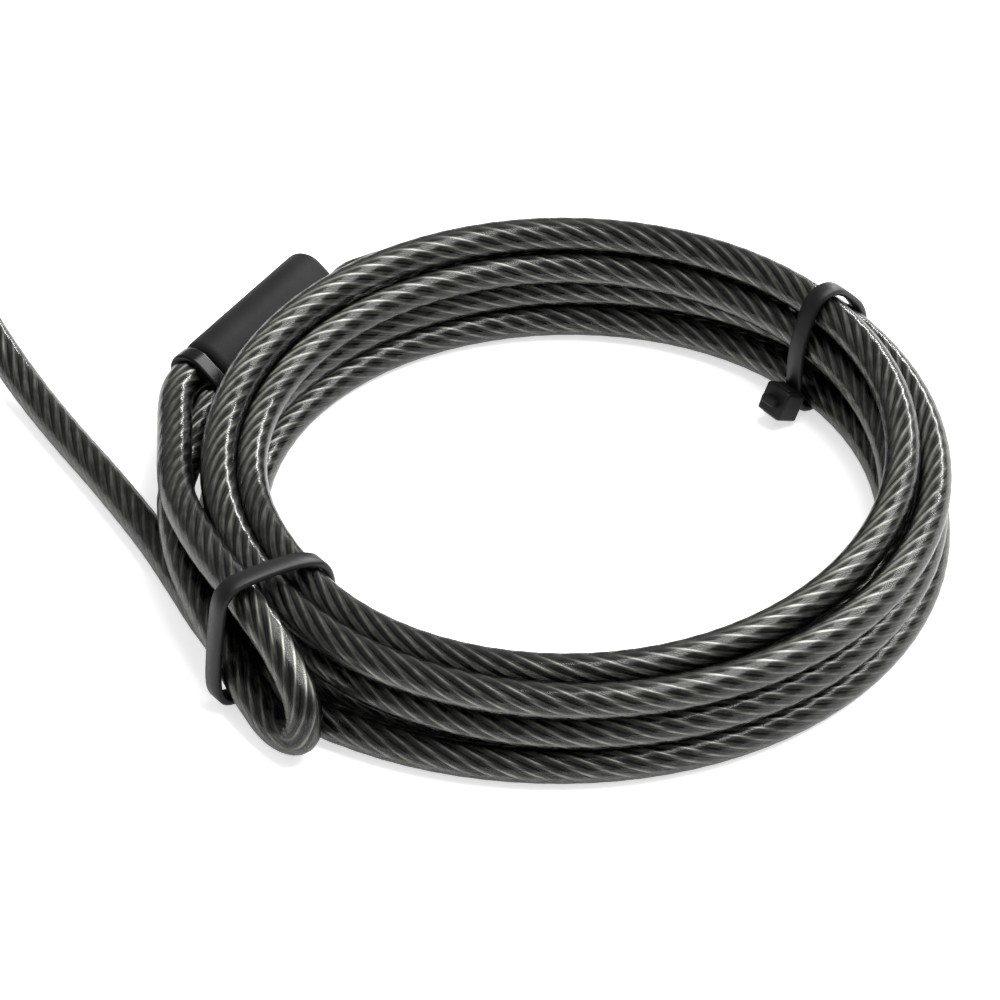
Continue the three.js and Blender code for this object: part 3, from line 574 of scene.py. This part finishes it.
# %% Loft the sleeve and its ring
SLEEVE_CENTER = (-41.8, 33.6, 8.53)
SLEEVE_HEADING = math.radians(57.3)
SLEEVE_LEAN = math.radians(37)
SLEEVE_LENGTH, SLEEVE_WIDTH, SLEEVE_HEIGHT = 26.5, 11.2, 7.2
SLEEVE_RIM, COLLAR_RIM = 1.3, 0.5
COLLAR_LENGTH, COLLAR_WIDTH, COLLAR_HEIGHT = 2.6, 11.3, 6.5
OVAL_STEPS = 24
RIM_STEPS = 7


def flat_oval(width, height):
    """Across and up coordinates of an oval with flat top and bottom, counter-clockwise."""
    radius, reach = height / 2, (width - height) / 2
    right, left = np.linspace(-90, 90, OVAL_STEPS), np.linspace(90, 270, OVAL_STEPS)
    points = [(radius * math.cos(a) + reach, radius * math.sin(a)) for a in np.radians(right)]
    points += [(radius * math.cos(a) - reach, radius * math.sin(a)) for a in np.radians(left)]
    return np.array(points)


def rounded_stations(middle, length, width, height, rounding):
    """Ovals along a bar whose two end rims are rounded."""
    stations = []
    for side, steps in ((-1, np.linspace(0, 90, RIM_STEPS)), (1, np.linspace(90, 0, RIM_STEPS))):
        for turn in np.radians(steps):
            inset = rounding * (1 - math.sin(turn))
            along = middle + side * (length / 2 - rounding * (1 - math.cos(turn)))
            stations.append((along, flat_oval(width - 2 * inset, height - 2 * inset)))
    return stations


sleeve_place = (Matrix.Translation(COIL_CENTER + Vector(SLEEVE_CENTER) * MM)
                @ Matrix.Rotation(SLEEVE_HEADING, 4, "Z") @ Matrix.Rotation(SLEEVE_LEAN, 4, "X"))
sleeve_rings = rounded_stations(0, SLEEVE_LENGTH, SLEEVE_WIDTH, SLEEVE_HEIGHT, SLEEVE_RIM)
sleeve = lofted("moulded_sleeve", sleeve_rings, sleeve_place, sleeve_pvc)
collar_middle = -SLEEVE_LENGTH / 2 - GAP - COLLAR_LENGTH / 2
collar_rings = rounded_stations(collar_middle, COLLAR_LENGTH, COLLAR_WIDTH, COLLAR_HEIGHT, COLLAR_RIM)
collar = lofted("loop_mouth_ring", collar_rings, sleeve_place, collar_gloss)
for piece, node in ((sleeve, "loop_sleeve"), (collar, "loop_collar")):
    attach(piece, "cable")
    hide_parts(node)
print("sleeve", SLEEVE_LENGTH, "mm long, ring", COLLAR_LENGTH, "mm")

# %% [markdown]
# ## Cable ties
#
# A tie is one nylon moulding: a flat band with rounded edges that goes round the bundle, and
# a square head that it passes through. The band is a short section carried along a closed
# outline of the bundle, whose corners are softened as a pulled strap softens them.

# %% Bend the straps round the bundle
TIE_WIDTH = 2.8
TIE_THICKNESS = 1.0
FRONT_TIE = (218.5, [(41.3, 1.2), (57.4, 1.2), (58.6, 3.8), (58, 11), (56.8, 19), (49.5, 18.4),
                     (44.4, 17.3), (41.2, 15.3), (40.5, 9.5)])
REAR_TIE = (38.5, [(41, 1.2), (51.8, 1.2), (51.9, 13.4), (47.1, 18.8), (43.7, 18.6), (41.2, 11.4)])
TIE_HEAD = (3.8, 4.4, 4.2)
TIE_HEAD_OFFSET = 2.6
TIE_HEAD_HEIGHT = 3.4
TIE_HEAD_LEAN = math.radians(28)
TIE_EDGE = 0.28
TIE_BEND = 2.8


def softened(outline, radius, steps=7):
    """The outline with each corner turned into a short quadratic curve."""
    points = []
    for i, corner in enumerate(outline):
        here = Vector(corner)
        before, after = Vector(outline[i - 1]), Vector(outline[(i + 1) % len(outline)])
        start = here.lerp(before, min(0.45, radius / (here - before).length))
        end = here.lerp(after, min(0.45, radius / (here - after).length))
        for t in np.linspace(0, 1, steps):
            points.append(start * (1 - t) ** 2 + here * 2 * t * (1 - t) + end * t * t)
    return points


def strap(name, angle, outline):
    """Closed band with softly rounded edges; its section is lofted along the outline."""
    middle = softened(outline, TIE_BEND)
    line = np.array([tuple(p) for p in middle])
    ahead = np.roll(line, -1, 0) - np.roll(line, 1, 0)
    ahead /= np.linalg.norm(ahead, axis=1)[:, None]
    outward = np.stack([ahead[:, 1], -ahead[:, 0]], axis=1)
    half, soft, thick = TIE_WIDTH / 2, TIE_EDGE, TIE_THICKNESS
    section = [(0, -half + soft), (soft, -half), (thick - soft, -half), (thick, -half + soft),
               (thick, half - soft), (thick - soft, half), (soft, half), (0, half - soft)]
    turn = Matrix.Translation(COIL_CENTER) @ Matrix.Rotation(math.radians(angle), 4, "Z")
    vertices = []
    for point, normal in zip(line, outward):
        for out, across in section:
            radius, height = point + normal * out
            vertices.append(turn @ (Vector((radius, across, height)) * MM))
    grid = np.arange(len(vertices)).reshape(len(line), len(section))
    onward, beside = np.roll(grid, -1, 0), np.roll(grid, -1, 1)
    quads = np.stack([grid, beside, np.roll(onward, -1, 1), onward], axis=-1)
    mesh = bpy.data.meshes.new(name)
    mesh.from_pydata(vertices, [], quads.reshape(-1, 4).tolist())
    mesh.polygons.foreach_set("use_smooth", [True] * len(mesh.polygons))
    mesh.set_sharp_from_angle(angle=math.radians(50))
    band = linked(name, mesh)
    band.data.materials.append(tie_nylon)
    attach(band, "cable")
    return band, turn


def chamfered_block(name, size, place, edge=0.35):
    """Block with bevelled edges, in millimetres, put in place by a matrix."""
    mesh = bpy.data.meshes.new(name)
    corners = [Vector((x, y, z)) for x in (-0.5, 0.5) for y in (-0.5, 0.5) for z in (-0.5, 0.5)]
    vertices = [place @ Vector((c.x * size[0], c.y * size[1], c.z * size[2])) for c in corners]
    faces = [(0, 1, 3, 2), (4, 6, 7, 5), (0, 4, 5, 1), (2, 3, 7, 6), (0, 2, 6, 4), (1, 5, 7, 3)]
    mesh.from_pydata(vertices, [], faces)
    block = linked(name, mesh)
    bevel = block.modifiers.new("edges", "BEVEL")
    bevel.width = edge * MM
    bevel.segments = 3
    mesh.polygons.foreach_set("use_smooth", [True] * len(mesh.polygons))
    mesh.set_sharp_from_angle(angle=math.radians(40))
    return block


front_strap, front_turn = strap("front_tie_strap", *FRONT_TIE)
rear_strap, rear_turn = strap("rear_tie_strap", *REAR_TIE)
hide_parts("front_cable_tie")
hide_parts("rear_cable_tie")

# %% [markdown]
# The head sits on the inner side of the coil, low down, and leans as the strap turns under
# the bundle. It is a bevelled block with a raised lip around the slot, and the strap's cut end
# stands a little out of it.

# %% Add the tie heads and the cut ends
LIP_MARGIN, LIP_SIDE_MARGIN, LIP_RISE, LIP_EDGE = 1.2, 1.4, 0.5, 0.2
CUT_LENGTH, CUT_MARGIN, CUT_REACH, CUT_EDGE = 1.9, 0.4, 0.3, 0.15


def tie_head(label, turn, outline):
    at = (turn @ Matrix.Scale(MM, 4)
          @ Matrix.Translation((outline[0][0] - TIE_HEAD_OFFSET, 0, TIE_HEAD_HEIGHT))
          @ Matrix.Rotation(TIE_HEAD_LEAN, 4, "Y"))
    long, wide, high = TIE_HEAD
    parts = [
        chamfered_block(f"{label}_tie_head", TIE_HEAD, at),
        chamfered_block(f"{label}_tie_lip", (long - LIP_MARGIN, wide - LIP_SIDE_MARGIN, high + LIP_RISE),
                        at, LIP_EDGE),
        chamfered_block(f"{label}_tie_cut_end", (CUT_LENGTH, TIE_WIDTH - CUT_MARGIN, TIE_THICKNESS),
                        at @ Matrix.Translation((-long / 2 - CUT_REACH, 0, 0)), CUT_EDGE),
    ]
    for part in parts:
        part.data.materials.append(tie_nylon)
        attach(part, "cable")
    return parts


front_head = tie_head("front", front_turn, FRONT_TIE[1])
rear_head = tie_head("rear", rear_turn, REAR_TIE[1])
print("tie pieces:", 2 + len(front_head) + len(rear_head))

# %% [markdown]
# ## Metals of the lock head
#
# The zinc die castings are painted satin black, and the paint has a soft orange peel. The
# nose plate and the bolt are nickel plated, the pins are plain steel, and the code rings are
# turned brass. Turned metal keeps fine rings around its axis from the tool.

# %% Painted zinc and bare metals
WAVE_SCALE = 220.0  # waves of 4.5 mm in the gloss
PEEL_SCALE = 1600.0  # orange peel of 0.6 mm
STAIN_SCALE = 300.0  # stains of 3 mm
TOOL_RING_SCALE = 200.0  # rings of 1.6 mm, coarser than a tool leaves, so that they show
PEEL_HEIGHT, TOOL_RING_HEIGHT = 0.04 * MM, 0.03 * MM


def painted_zinc():
    """Satin black powder paint on a die casting: slow waves in the gloss, fine orange peel."""
    material, tree = blank_material("black_painted_zinc")
    place = add(tree, "TexCoord")
    waves = add(tree, "TexNoise", {"Vector": place.outputs["Object"], "Scale": WAVE_SCALE, "Detail": 2.0})
    peel = add(tree, "TexNoise", {"Vector": place.outputs["Object"], "Scale": PEEL_SCALE, "Detail": 1.0})
    tone = add(tree, "ValToRGB", {"Fac": waves.outputs["Fac"]})
    tone.color_ramp.elements[0].color = srgb("121314")
    tone.color_ramp.elements[0].position = 0.3
    tone.color_ramp.elements[1].color = srgb("1d1e20")
    tone.color_ramp.elements[1].position = 0.7
    rough = add(tree, "MapRange", {"Value": waves.outputs["Fac"], "To Min": 0.3, "To Max": 0.42})
    relief = add(tree, "Bump", {
        "Height": peel.outputs["Fac"], "Strength": 0.25, "Distance": PEEL_HEIGHT})
    shader = add(tree, "BsdfPrincipled", {
        "Base Color": tone.outputs[0], "Roughness": rough.outputs[0], "IOR": 1.5,
        "Coat Weight": 0.3, "Coat Roughness": 0.25, "Normal": relief.outputs[0]})
    finished_with(tree, shader)
    return material


def turned_metal(name, dark, light, roughness):
    """Bare or plated metal with fine tool rings around the barrel's axis."""
    material, tree = blank_material(name)
    place = add(tree, "TexCoord")
    rings = add(tree, "TexWave", {
        "Vector": place.outputs["Object"], "Scale": TOOL_RING_SCALE, "Distortion": 2.0,
        "Detail": 2.0}, wave_type="BANDS", bands_direction="X")
    stain = add(tree, "TexNoise", {"Vector": place.outputs["Object"], "Scale": STAIN_SCALE, "Detail": 3.0})
    tone = add(tree, "ValToRGB", {"Fac": stain.outputs["Fac"]})
    tone.color_ramp.elements[0].color = srgb(dark)
    tone.color_ramp.elements[0].position = 0.3
    tone.color_ramp.elements[1].color = srgb(light)
    tone.color_ramp.elements[1].position = 0.7
    rough = add(tree, "MapRange", {
        "Value": stain.outputs["Fac"], "To Min": roughness - 0.06, "To Max": roughness + 0.1})
    relief = add(tree, "Bump", {
        "Height": rings.outputs["Fac"], "Strength": 0.12, "Distance": TOOL_RING_HEIGHT})
    shader = add(tree, "BsdfPrincipled", {
        "Base Color": tone.outputs[0], "Metallic": 1.0, "Roughness": rough.outputs[0],
        "Normal": relief.outputs[0]})
    finished_with(tree, shader)
    return material


zinc = painted_zinc()
nickel = turned_metal("satin_nickel_plate", "a8a49b", "c2beb5", 0.26)
steel = turned_metal("zinc_plated_steel", "8f9091", "aeb0b2", 0.32)
brass = turned_metal("turned_brass", "a8874a", "c6a564", 0.28)
spring_steel = turned_metal("blued_spring_steel", "5b5f66", "7b7f86", 0.28)


COVER_SCALE = 1500.0  # thin spots of 0.7 mm


def print_ink():
    """White pad-printed ink: matt, and a little thin in places."""
    material, tree = blank_material("white_pad_print")
    place = add(tree, "TexCoord")
    cover = add(tree, "TexNoise", {"Vector": place.outputs["Object"], "Scale": COVER_SCALE, "Detail": 2.0})
    tone = add(tree, "ValToRGB", {"Fac": cover.outputs["Fac"]})
    tone.color_ramp.elements[0].color = srgb("cfcfca")
    tone.color_ramp.elements[0].position = 0.25
    tone.color_ramp.elements[1].color = srgb("ecece8")
    tone.color_ramp.elements[1].position = 0.6
    finished_with(tree, add(tree, "BsdfPrincipled", {"Base Color": tone.outputs[0], "Roughness": 0.55}))
    return material


ink = print_ink()
print("metals ready")

# %% [markdown]
# ## Castings and turned parts
#
# The CAD solids of the small metal parts already have the right shapes, but their edges are
# razor sharp and their round faces are flat strips. Real parts have a broken edge that
# catches a thin highlight. So each of them gets a copy with merged faces, bevelled edges and
# smooth shading, and the copy stands for the solid.

# %% Dress the metal parts of the lock head
MERGE_DISTANCE = 0.001 * MM
FLAT_ANGLE, BEVEL_ANGLE, DRESSED_CREASE = math.radians(1), math.radians(28), math.radians(30)


def dressed(node, material, edge):
    """Copy of a CAD node with broken edges, riding where the node rides."""
    source = frame["nodes"][node]
    shape = bmesh.new()
    shape.from_mesh(source.data)
    bmesh.ops.remove_doubles(shape, verts=shape.verts, dist=MERGE_DISTANCE)
    bmesh.ops.dissolve_limit(shape, angle_limit=FLAT_ANGLE, verts=shape.verts, edges=shape.edges)
    for face in shape.faces:
        face.smooth = True
    corners = [e for e in shape.edges if e.is_manifold and e.calc_face_angle(0) > BEVEL_ANGLE]
    bmesh.ops.bevel(shape, geom=corners, offset=edge * MM, segments=2, profile=0.5,
                    affect="EDGES", clamp_overlap=True)
    mesh = bpy.data.meshes.new(node + "_dressed")
    shape.to_mesh(mesh)
    shape.free()
    mesh.set_sharp_from_angle(angle=DRESSED_CREASE)
    mesh.materials.clear()
    mesh.materials.append(material)
    piece = linked(node + "_dressed", mesh)
    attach(piece, body_of(source)[0])
    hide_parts(node)
    return piece


METAL_PARTS = [
    ("front_housing", zinc, "black_zinc", 0.15), ("rear_cap", zinc, "black_zinc", 0.12),
    ("swivel_collar", zinc, "black_zinc", 0.2), ("nose_plate", nickel, "nickel_plate", 0.12),
    ("lock_spindle", nickel, "nickel_plate", 0.12), ("pivot_pin", steel, "steel", 0.15),
    ("knob_pin", steel, "steel", 0.1), ("cable_eye", nickel, "nickel_plate", 0.2),
    ("retaining_ring", spring_steel, "steel", 0.05), ("fence_bar", steel, "steel", 0.08),
    ("detent_spring", spring_steel, "steel", 0.04), ("crimp_ferrule", nickel, "nickel_plate", 0.15),
    ("nose_pad", epdm, "black_rubber", 0.2),
]
METAL_PARTS += [(f"code_ring_{i + 1}", brass, "brass", 0.08) for i in range(4)]
for node, finish, slot_name, edge in METAL_PARTS:
    dressed(node, finish, edge)
print("dressed parts:", len(METAL_PARTS))

# %% [markdown]
# ## Code dials
#
# Each dial is moulded in black acetal. Ten slightly crowned faces carry the digits, and a
# rounded notch between neighbours gives the fingertip a hold. Both rims are rounded. The
# outline is computed as a radius for every angle, so that the notches are smooth.

# %% Loft the four dials
LOCK_CENTER = Vector((16.15, 3.5, 10)) * MM
head_place = Matrix.Translation(LOCK_CENTER)
DIAL_R, DIAL_NOTCH_R, DIAL_BORE_R = 9.72, 8.95, 7.3
DIAL_FIRST_X, DIAL_PITCH, DIAL_WIDTH = -7.2, 5.6, 5.2
DIAL_RIM, BORE_CHAMFER = 0.45, 0.25
FACE_ANGLE, FACE_CROWN, CROWN_ANGLE, NOTCH_ANGLE, NOTCH_POWER = 36, 0.03, 12, 6.5, 1.5
RING_STEPS = 240
DIAL_BODIES = ["dial_a", "dial_b", "dial_c", "dial_d"]


def polar_ring(radius_at, steps, inset=0.0):
    """Points (y, z) around the axis, with a radius given for each angle in degrees."""
    return np.array([((radius_at(a) - inset) * math.cos(math.radians(a)),
                      (radius_at(a) - inset) * math.sin(math.radians(a)))
                     for a in np.linspace(0, 360, steps, endpoint=False)])


def plain(radius):
    """A round ring, for polar_ring."""
    return lambda angle: radius


def dial_radius(angle):
    """Ten faces, one of them on top, and a rounded notch between neighbours."""
    half = FACE_ANGLE / 2
    from_face = (angle - 90 + half) % FACE_ANGLE - half
    notch = max(0.0, 1 - ((half - abs(from_face)) / NOTCH_ANGLE) ** 2)
    crown = FACE_CROWN * (from_face / CROWN_ANGLE) ** 2
    return DIAL_R - crown - (DIAL_R - DIAL_NOTCH_R) * notch ** NOTCH_POWER


def rim(start, end, rounding, steps=5):
    """Distances along the axis and insets of a bar with rounded rims."""
    turns = np.radians(np.linspace(0, 90, steps))
    first = [(start - rounding * (1 - math.cos(t)), rounding * (1 - math.sin(t))) for t in turns]
    last = [(end + rounding * (1 - math.cos(t)), rounding * (1 - math.sin(t))) for t in turns[::-1]]
    return first + last


def dial_piece(index):
    """One dial. Returns the places of its front and back along the barrel."""
    front = DIAL_FIRST_X - index * DIAL_PITCH
    back = front - DIAL_WIDTH
    bore = polar_ring(plain(DIAL_BORE_R), RING_STEPS)
    mouth = polar_ring(plain(DIAL_BORE_R), RING_STEPS, -BORE_CHAMFER)
    stations = [(front, mouth)]
    stations += [(x, polar_ring(dial_radius, RING_STEPS, inset))
                 for x, inset in rim(front, back, DIAL_RIM)]
    stations += [(back, mouth), (back + BORE_CHAMFER, bore), (front - BORE_CHAMFER, bore)]
    piece = lofted(f"dial_{index + 1}_moulding", stations[::-1], head_place, acetal, tube=True)
    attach(piece, DIAL_BODIES[index])
    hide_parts(f"dial_{index + 1}")
    return front, back


dial_spans = [dial_piece(i) for i in range(len(DIAL_BODIES))]
print("dials from", dial_spans[0][0], "to", round(dial_spans[-1][1], 2), "mm along the barrel")

# %% [markdown]
# The digits are printed in white ink. Text objects give clean outlines, and each one becomes
# a thin raised mesh on its face. The ten digits of a dial are then joined into one piece that
# turns with it, and 0 shows on top at rest.

# %% Print the digits and the index marks
DIGIT_HEIGHT = 3.5
FONT_SIZE_PER_HEIGHT = 1.4
DIGIT_BOLDNESS = 0.04
INK_RISE = 0.03


def glyph(text):
    """Corners and faces of one thin digit, centred, with its height along +Y."""
    curve = bpy.data.curves.new("glyph", "FONT")
    curve.body = text
    curve.size = DIGIT_HEIGHT * FONT_SIZE_PER_HEIGHT
    curve.align_x, curve.align_y = "CENTER", "CENTER"
    curve.extrude = INK_RISE
    curve.offset = DIGIT_BOLDNESS
    holder = linked("glyph", curve)
    mesh = bpy.data.meshes.new_from_object(holder)
    points = np.array([tuple(v.co) for v in mesh.vertices])
    points[:, :2] -= (points[:, :2].max(0) + points[:, :2].min(0)) / 2
    faces = [list(p.vertices) for p in mesh.polygons]
    bpy.data.objects.remove(holder)
    bpy.data.meshes.remove(mesh)
    bpy.data.curves.remove(curve)
    return points, faces


def digits_on(index, front, back):
    """All ten digits of a dial as one piece, centred between its front and back."""
    points, faces = [], []
    for digit in range(10):
        outline, skin = glyph(str(digit))
        turn = Matrix.Rotation(math.radians(-FACE_ANGLE * digit), 4, "X")
        base = len(points)
        for x, y, rise in outline:
            flat = Vector(((front + back) / 2 + x, y, DIAL_R + rise))
            points.append(head_place @ (turn @ (flat * MM)))
        faces += [[base + i for i in face] for face in skin]
    mesh = bpy.data.meshes.new(f"dial_{index + 1}_digits")
    mesh.from_pydata(points, [], faces)
    mesh.materials.append(ink)
    piece = linked(mesh.name, mesh)
    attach(piece, DIAL_BODIES[index])


for i, span in enumerate(dial_spans):
    digits_on(i, *span)


def block_on_head(name, size, spot, edge, material, body):
    """Small bevelled block at a spot measured from the lock head's centre."""
    place = head_place @ Matrix.Scale(MM, 4) @ Matrix.Translation(spot)
    block = chamfered_block(name, size, place, edge)
    block.data.materials.append(material)
    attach(block, body)


# Short white bars on the barrel's rims, in line with the digits that count.
MARK_SIZE, MARK_EDGE, MARK_HEIGHT = (1.6, 0.5, 0.12), 0.03, 9.98
for name, along in (("front_index_mark", -5.3), ("rear_index_mark", -31.6)):
    block_on_head(name, MARK_SIZE, (along, 0, MARK_HEIGHT), MARK_EDGE, ink, "barrel")

# %% [markdown]
# ## Turning knob
#
# The knob is a die casting with twelve soft flutes for the fingers. Its rounded end has a
# shallow dish with a raised pointer bar that shows whether the bolt is turned.

# %% Loft the knob and its pointer
KNOB_FRONT, KNOB_END = -34.0, -44.0
KNOB_R, KNOB_FLUTE_R, FLUTES = 9.6, 8.9, 12
KNOB_RIM, KNOB_RIM_STEPS = 1.0, 8
# Pairs of a distance and a radius: the hub's recess at the front, and the dish at the end.
KNOB_RECESS = [(-2.6, 2.3), (-2.6, 6.6), (-0.2, 6.6), (0, 6.8)]
KNOB_DISH = [(0, 7.0), (0.35, 6.5), (0.5, 5.5), (0.5, 2.3)]
POINTER_SIZE, POINTER_DEPTH, POINTER_EDGE = (0.5, 1.1, 9.4), 0.45, 0.12
LINE_SIZE, LINE_DEPTH, LINE_UP, LINE_EDGE = (0.08, 0.5, 3.2), 0.18, 2.6, 0.02


def knob_radius(angle):
    wave = (1 + math.cos(math.radians(FLUTES * angle))) / 2
    return KNOB_FLUTE_R + (KNOB_R - KNOB_FLUTE_R) * (1 - (1 - wave) ** 2)


knob_stations = [(KNOB_FRONT + x, polar_ring(plain(r), RING_STEPS)) for x, r in KNOB_RECESS]
knob_stations += [(x, polar_ring(knob_radius, RING_STEPS, inset))
                  for x, inset in rim(KNOB_FRONT, KNOB_END, KNOB_RIM, KNOB_RIM_STEPS)]
knob_stations += [(KNOB_END + x, polar_ring(plain(r), RING_STEPS)) for x, r in KNOB_DISH]
knob = lofted("fluted_knob", knob_stations[::-1], head_place, zinc, tube=True)
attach(knob, "spindle")
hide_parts("turn_knob")
block_on_head("knob_pointer", POINTER_SIZE, (KNOB_END + POINTER_DEPTH, 0, 0), POINTER_EDGE, zinc, "spindle")
block_on_head("knob_pointer_line", LINE_SIZE, (KNOB_END + LINE_DEPTH, 0, LINE_UP), LINE_EDGE, ink, "spindle")

# %% [markdown]
# ## Nose screws and boot
#
# Two small screws hold the nose plate. Their heads are turned domes with a six-lobe socket,
# and the loft simply turns back inside along the socket's wall. The boot is a rubber strain
# relief, and its grooves let it bend with the cable.

# %% Loft the screws and the ribbed boot
SCREW_STEPS, SCREW_OFFSET = 48, 5.2
SCREW_OUTLINE = [(0.2, 0.6), (0.3, 0.7), (5.35, 0.7), (5.35, 1.28), (5.45, 1.38), (5.75, 1.38),
                 (5.95, 1.2), (6.0, 0.95)]
SOCKET_TOP, SOCKET_FLOOR, SOCKET_POINT, SOCKET_POINT_R = 6.0, 5.5, 5.45, 0.1
SOCKET_R, SOCKET_LOBE, SOCKET_LOBES = 0.62, 0.12, 6


def socket_radius(angle):
    return SOCKET_R + SOCKET_LOBE * math.cos(math.radians(SOCKET_LOBES * angle))


def nose_screw(index, side):
    """Screw above (side 1) or below (side -1) the bolt."""
    stations = [(x, polar_ring(plain(r), SCREW_STEPS)) for x, r in SCREW_OUTLINE]
    stations += [(x, polar_ring(socket_radius, SCREW_STEPS)) for x in (SOCKET_TOP, SOCKET_FLOOR)]
    stations.append((SOCKET_POINT, polar_ring(plain(SOCKET_POINT_R), SCREW_STEPS)))
    place = head_place @ Matrix.Translation((0, 0, side * SCREW_OFFSET * MM))
    screw = lofted(f"nose_screw_{index}_turned", stations[::-1], place, steel)
    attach(screw, "barrel")
    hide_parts(f"nose_screw_{index}")


nose_screw(1, 1)
nose_screw(2, -1)

BOOT_START, BOOT_END = 5.0, 16.0
BOOT_WIDE_R, BOOT_SLIM_R = 3.68, 3.0
BOOT_GROOVE, BOOT_GROOVES, BOOT_PLAIN_LENGTH = 0.42, 5, 3
BOOT_MOUTH = [(2.3, 2.5), (0, 2.5), (0, 3.4), (0.25, 3.62)]
BOOT_TIP = [(-0.1, 2.9), (0, 2.7), (0, 2.46)]
BOOT_STEP, BOOT_STEPS = 0.1, 64
BOOT_PIVOT, BOOT_HEADING = Vector((0, -13.5, 0)), math.radians(-52)


def boot_profile():
    """Distance and radius pairs: a smooth collar, then five grooves on a slow taper."""
    profile = [(BOOT_START + x, r) for x, r in BOOT_MOUTH]
    for x in np.arange(BOOT_START + 0.5, BOOT_END - 0.3, BOOT_STEP):
        ribbed_length = BOOT_END - BOOT_START - BOOT_PLAIN_LENGTH
        share = np.clip((x - BOOT_START - BOOT_PLAIN_LENGTH) / ribbed_length, 0, 1)
        radius = BOOT_WIDE_R + (BOOT_SLIM_R - BOOT_WIDE_R) * share
        dip = (1 + math.cos(2 * math.pi * (share * BOOT_GROOVES - 0.5))) / 2 if 0 < share < 0.97 else 0
        profile.append((x, radius - BOOT_GROOVE * dip ** 3))
    return profile + [(BOOT_END + x, r) for x, r in BOOT_TIP]


boot_place = (Matrix.Translation(LOCK_CENTER + BOOT_PIVOT * MM)
              @ Matrix.Rotation(BOOT_HEADING, 4, "Z"))
boot_stations = [(x, polar_ring(plain(r), BOOT_STEPS)) for x, r in boot_profile()]
boot = lofted("ribbed_boot", boot_stations[::-1], boot_place, epdm)
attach(boot, "cable")
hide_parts("cable_boot")
print("boot profile has", len(boot_stations), "rings")

# %% [markdown]
# ## Attaching the cable runs
#
# The rope and the jacket of both runs ride on the cable's body, and the CAD solids of the
# tail, the coil and the end loop are hidden.

for piece in (main_rope, main_jacket, loop_rope, loop_jacket):
    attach(piece, "cable")
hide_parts("cable_tail", "cable_coil")
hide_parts("end_loop")

# %% [markdown]
# ## Floor and light
#
# A pale sweep and large soft lamps, as in a product studio. The long glossy jackets mirror
# the lamps as bright lines, so where each lamp stands decides where those lines run.

# %% Lay the floor
FIBRE_SCALE = 60.0  # cloudy fibres of 17 mm
FLOOR_REACH, FLOOR_DROP = 3.0, 0.00005


def paper_floor():
    """White paper with faint fibres. It glows a little, so that it stays white near the rim."""
    material, tree = blank_material("white_paper")
    place = add(tree, "TexCoord")
    fibre = add(tree, "TexNoise", {"Vector": place.outputs["Object"], "Scale": FIBRE_SCALE, "Detail": 3.0})
    tone = add(tree, "MapRange", {"Value": fibre.outputs["Fac"], "To Min": 0.93, "To Max": 0.96})
    shade = add(tree, "CombineColor", {0: tone.outputs[0], 1: tone.outputs[0], 2: tone.outputs[0]})
    shader = add(tree, "BsdfPrincipled", {
        "Base Color": shade.outputs[0], "Roughness": 0.9,
        "Emission Color": srgb("ffffff"), "Emission Strength": 0.6})
    finished_with(tree, shader)
    return material


floor_mesh = bpy.data.meshes.new("floor")
floor_corners = [(x * FLOOR_REACH, y * FLOOR_REACH, 0) for x, y in ((-1, -1), (1, -1), (1, 1), (-1, 1))]
floor_mesh.from_pydata(floor_corners, [], [(0, 1, 2, 3)])
floor = linked("floor", floor_mesh)
floor.location.z = -FLOOR_DROP
floor.data.materials.append(paper_floor())


# %% Set the lamps
def long_lamp(name, start, end, width, power):
    """Soft strip between two points around the coil, in metres, facing the coil."""
    start, end = Vector(start), Vector(end)
    middle = (start + end) / 2
    lamp = bpy.data.lights.new(name, "AREA")
    lamp.shape = "RECTANGLE"
    lamp.size, lamp.size_y = (end - start).length, width
    lamp.energy = power
    away = middle.normalized()
    along = (end - start) - away * away.dot(end - start)
    along.normalize()
    strip = bpy.data.objects.new(name, lamp)
    turn = Matrix((along, away.cross(along), away)).transposed()
    strip.matrix_world = Matrix.Translation(COIL_CENTER + middle) @ turn.to_4x4()
    bpy.context.collection.objects.link(strip)


# Start, end, width and power of each.
long_lamp("overhead_softbox", (0.18, -0.24, 0.95), (0.69, 0.5, 0.5), 0.6, 19)
long_lamp("rim_strip", (0.62, 0.62, 0.42), (0.3, 0.9, 0.25), 0.1, 5)

SKY_LIGHT = 0.45
world = bpy.data.worlds.new("studio")
bpy.context.scene.world = world
world.use_nodes = True
world.node_tree.nodes["Background"].inputs["Color"].default_value = srgb("ffffff")
world.node_tree.nodes["Background"].inputs["Strength"].default_value = SKY_LIGHT
bpy.context.scene.view_settings.view_transform = "Standard"
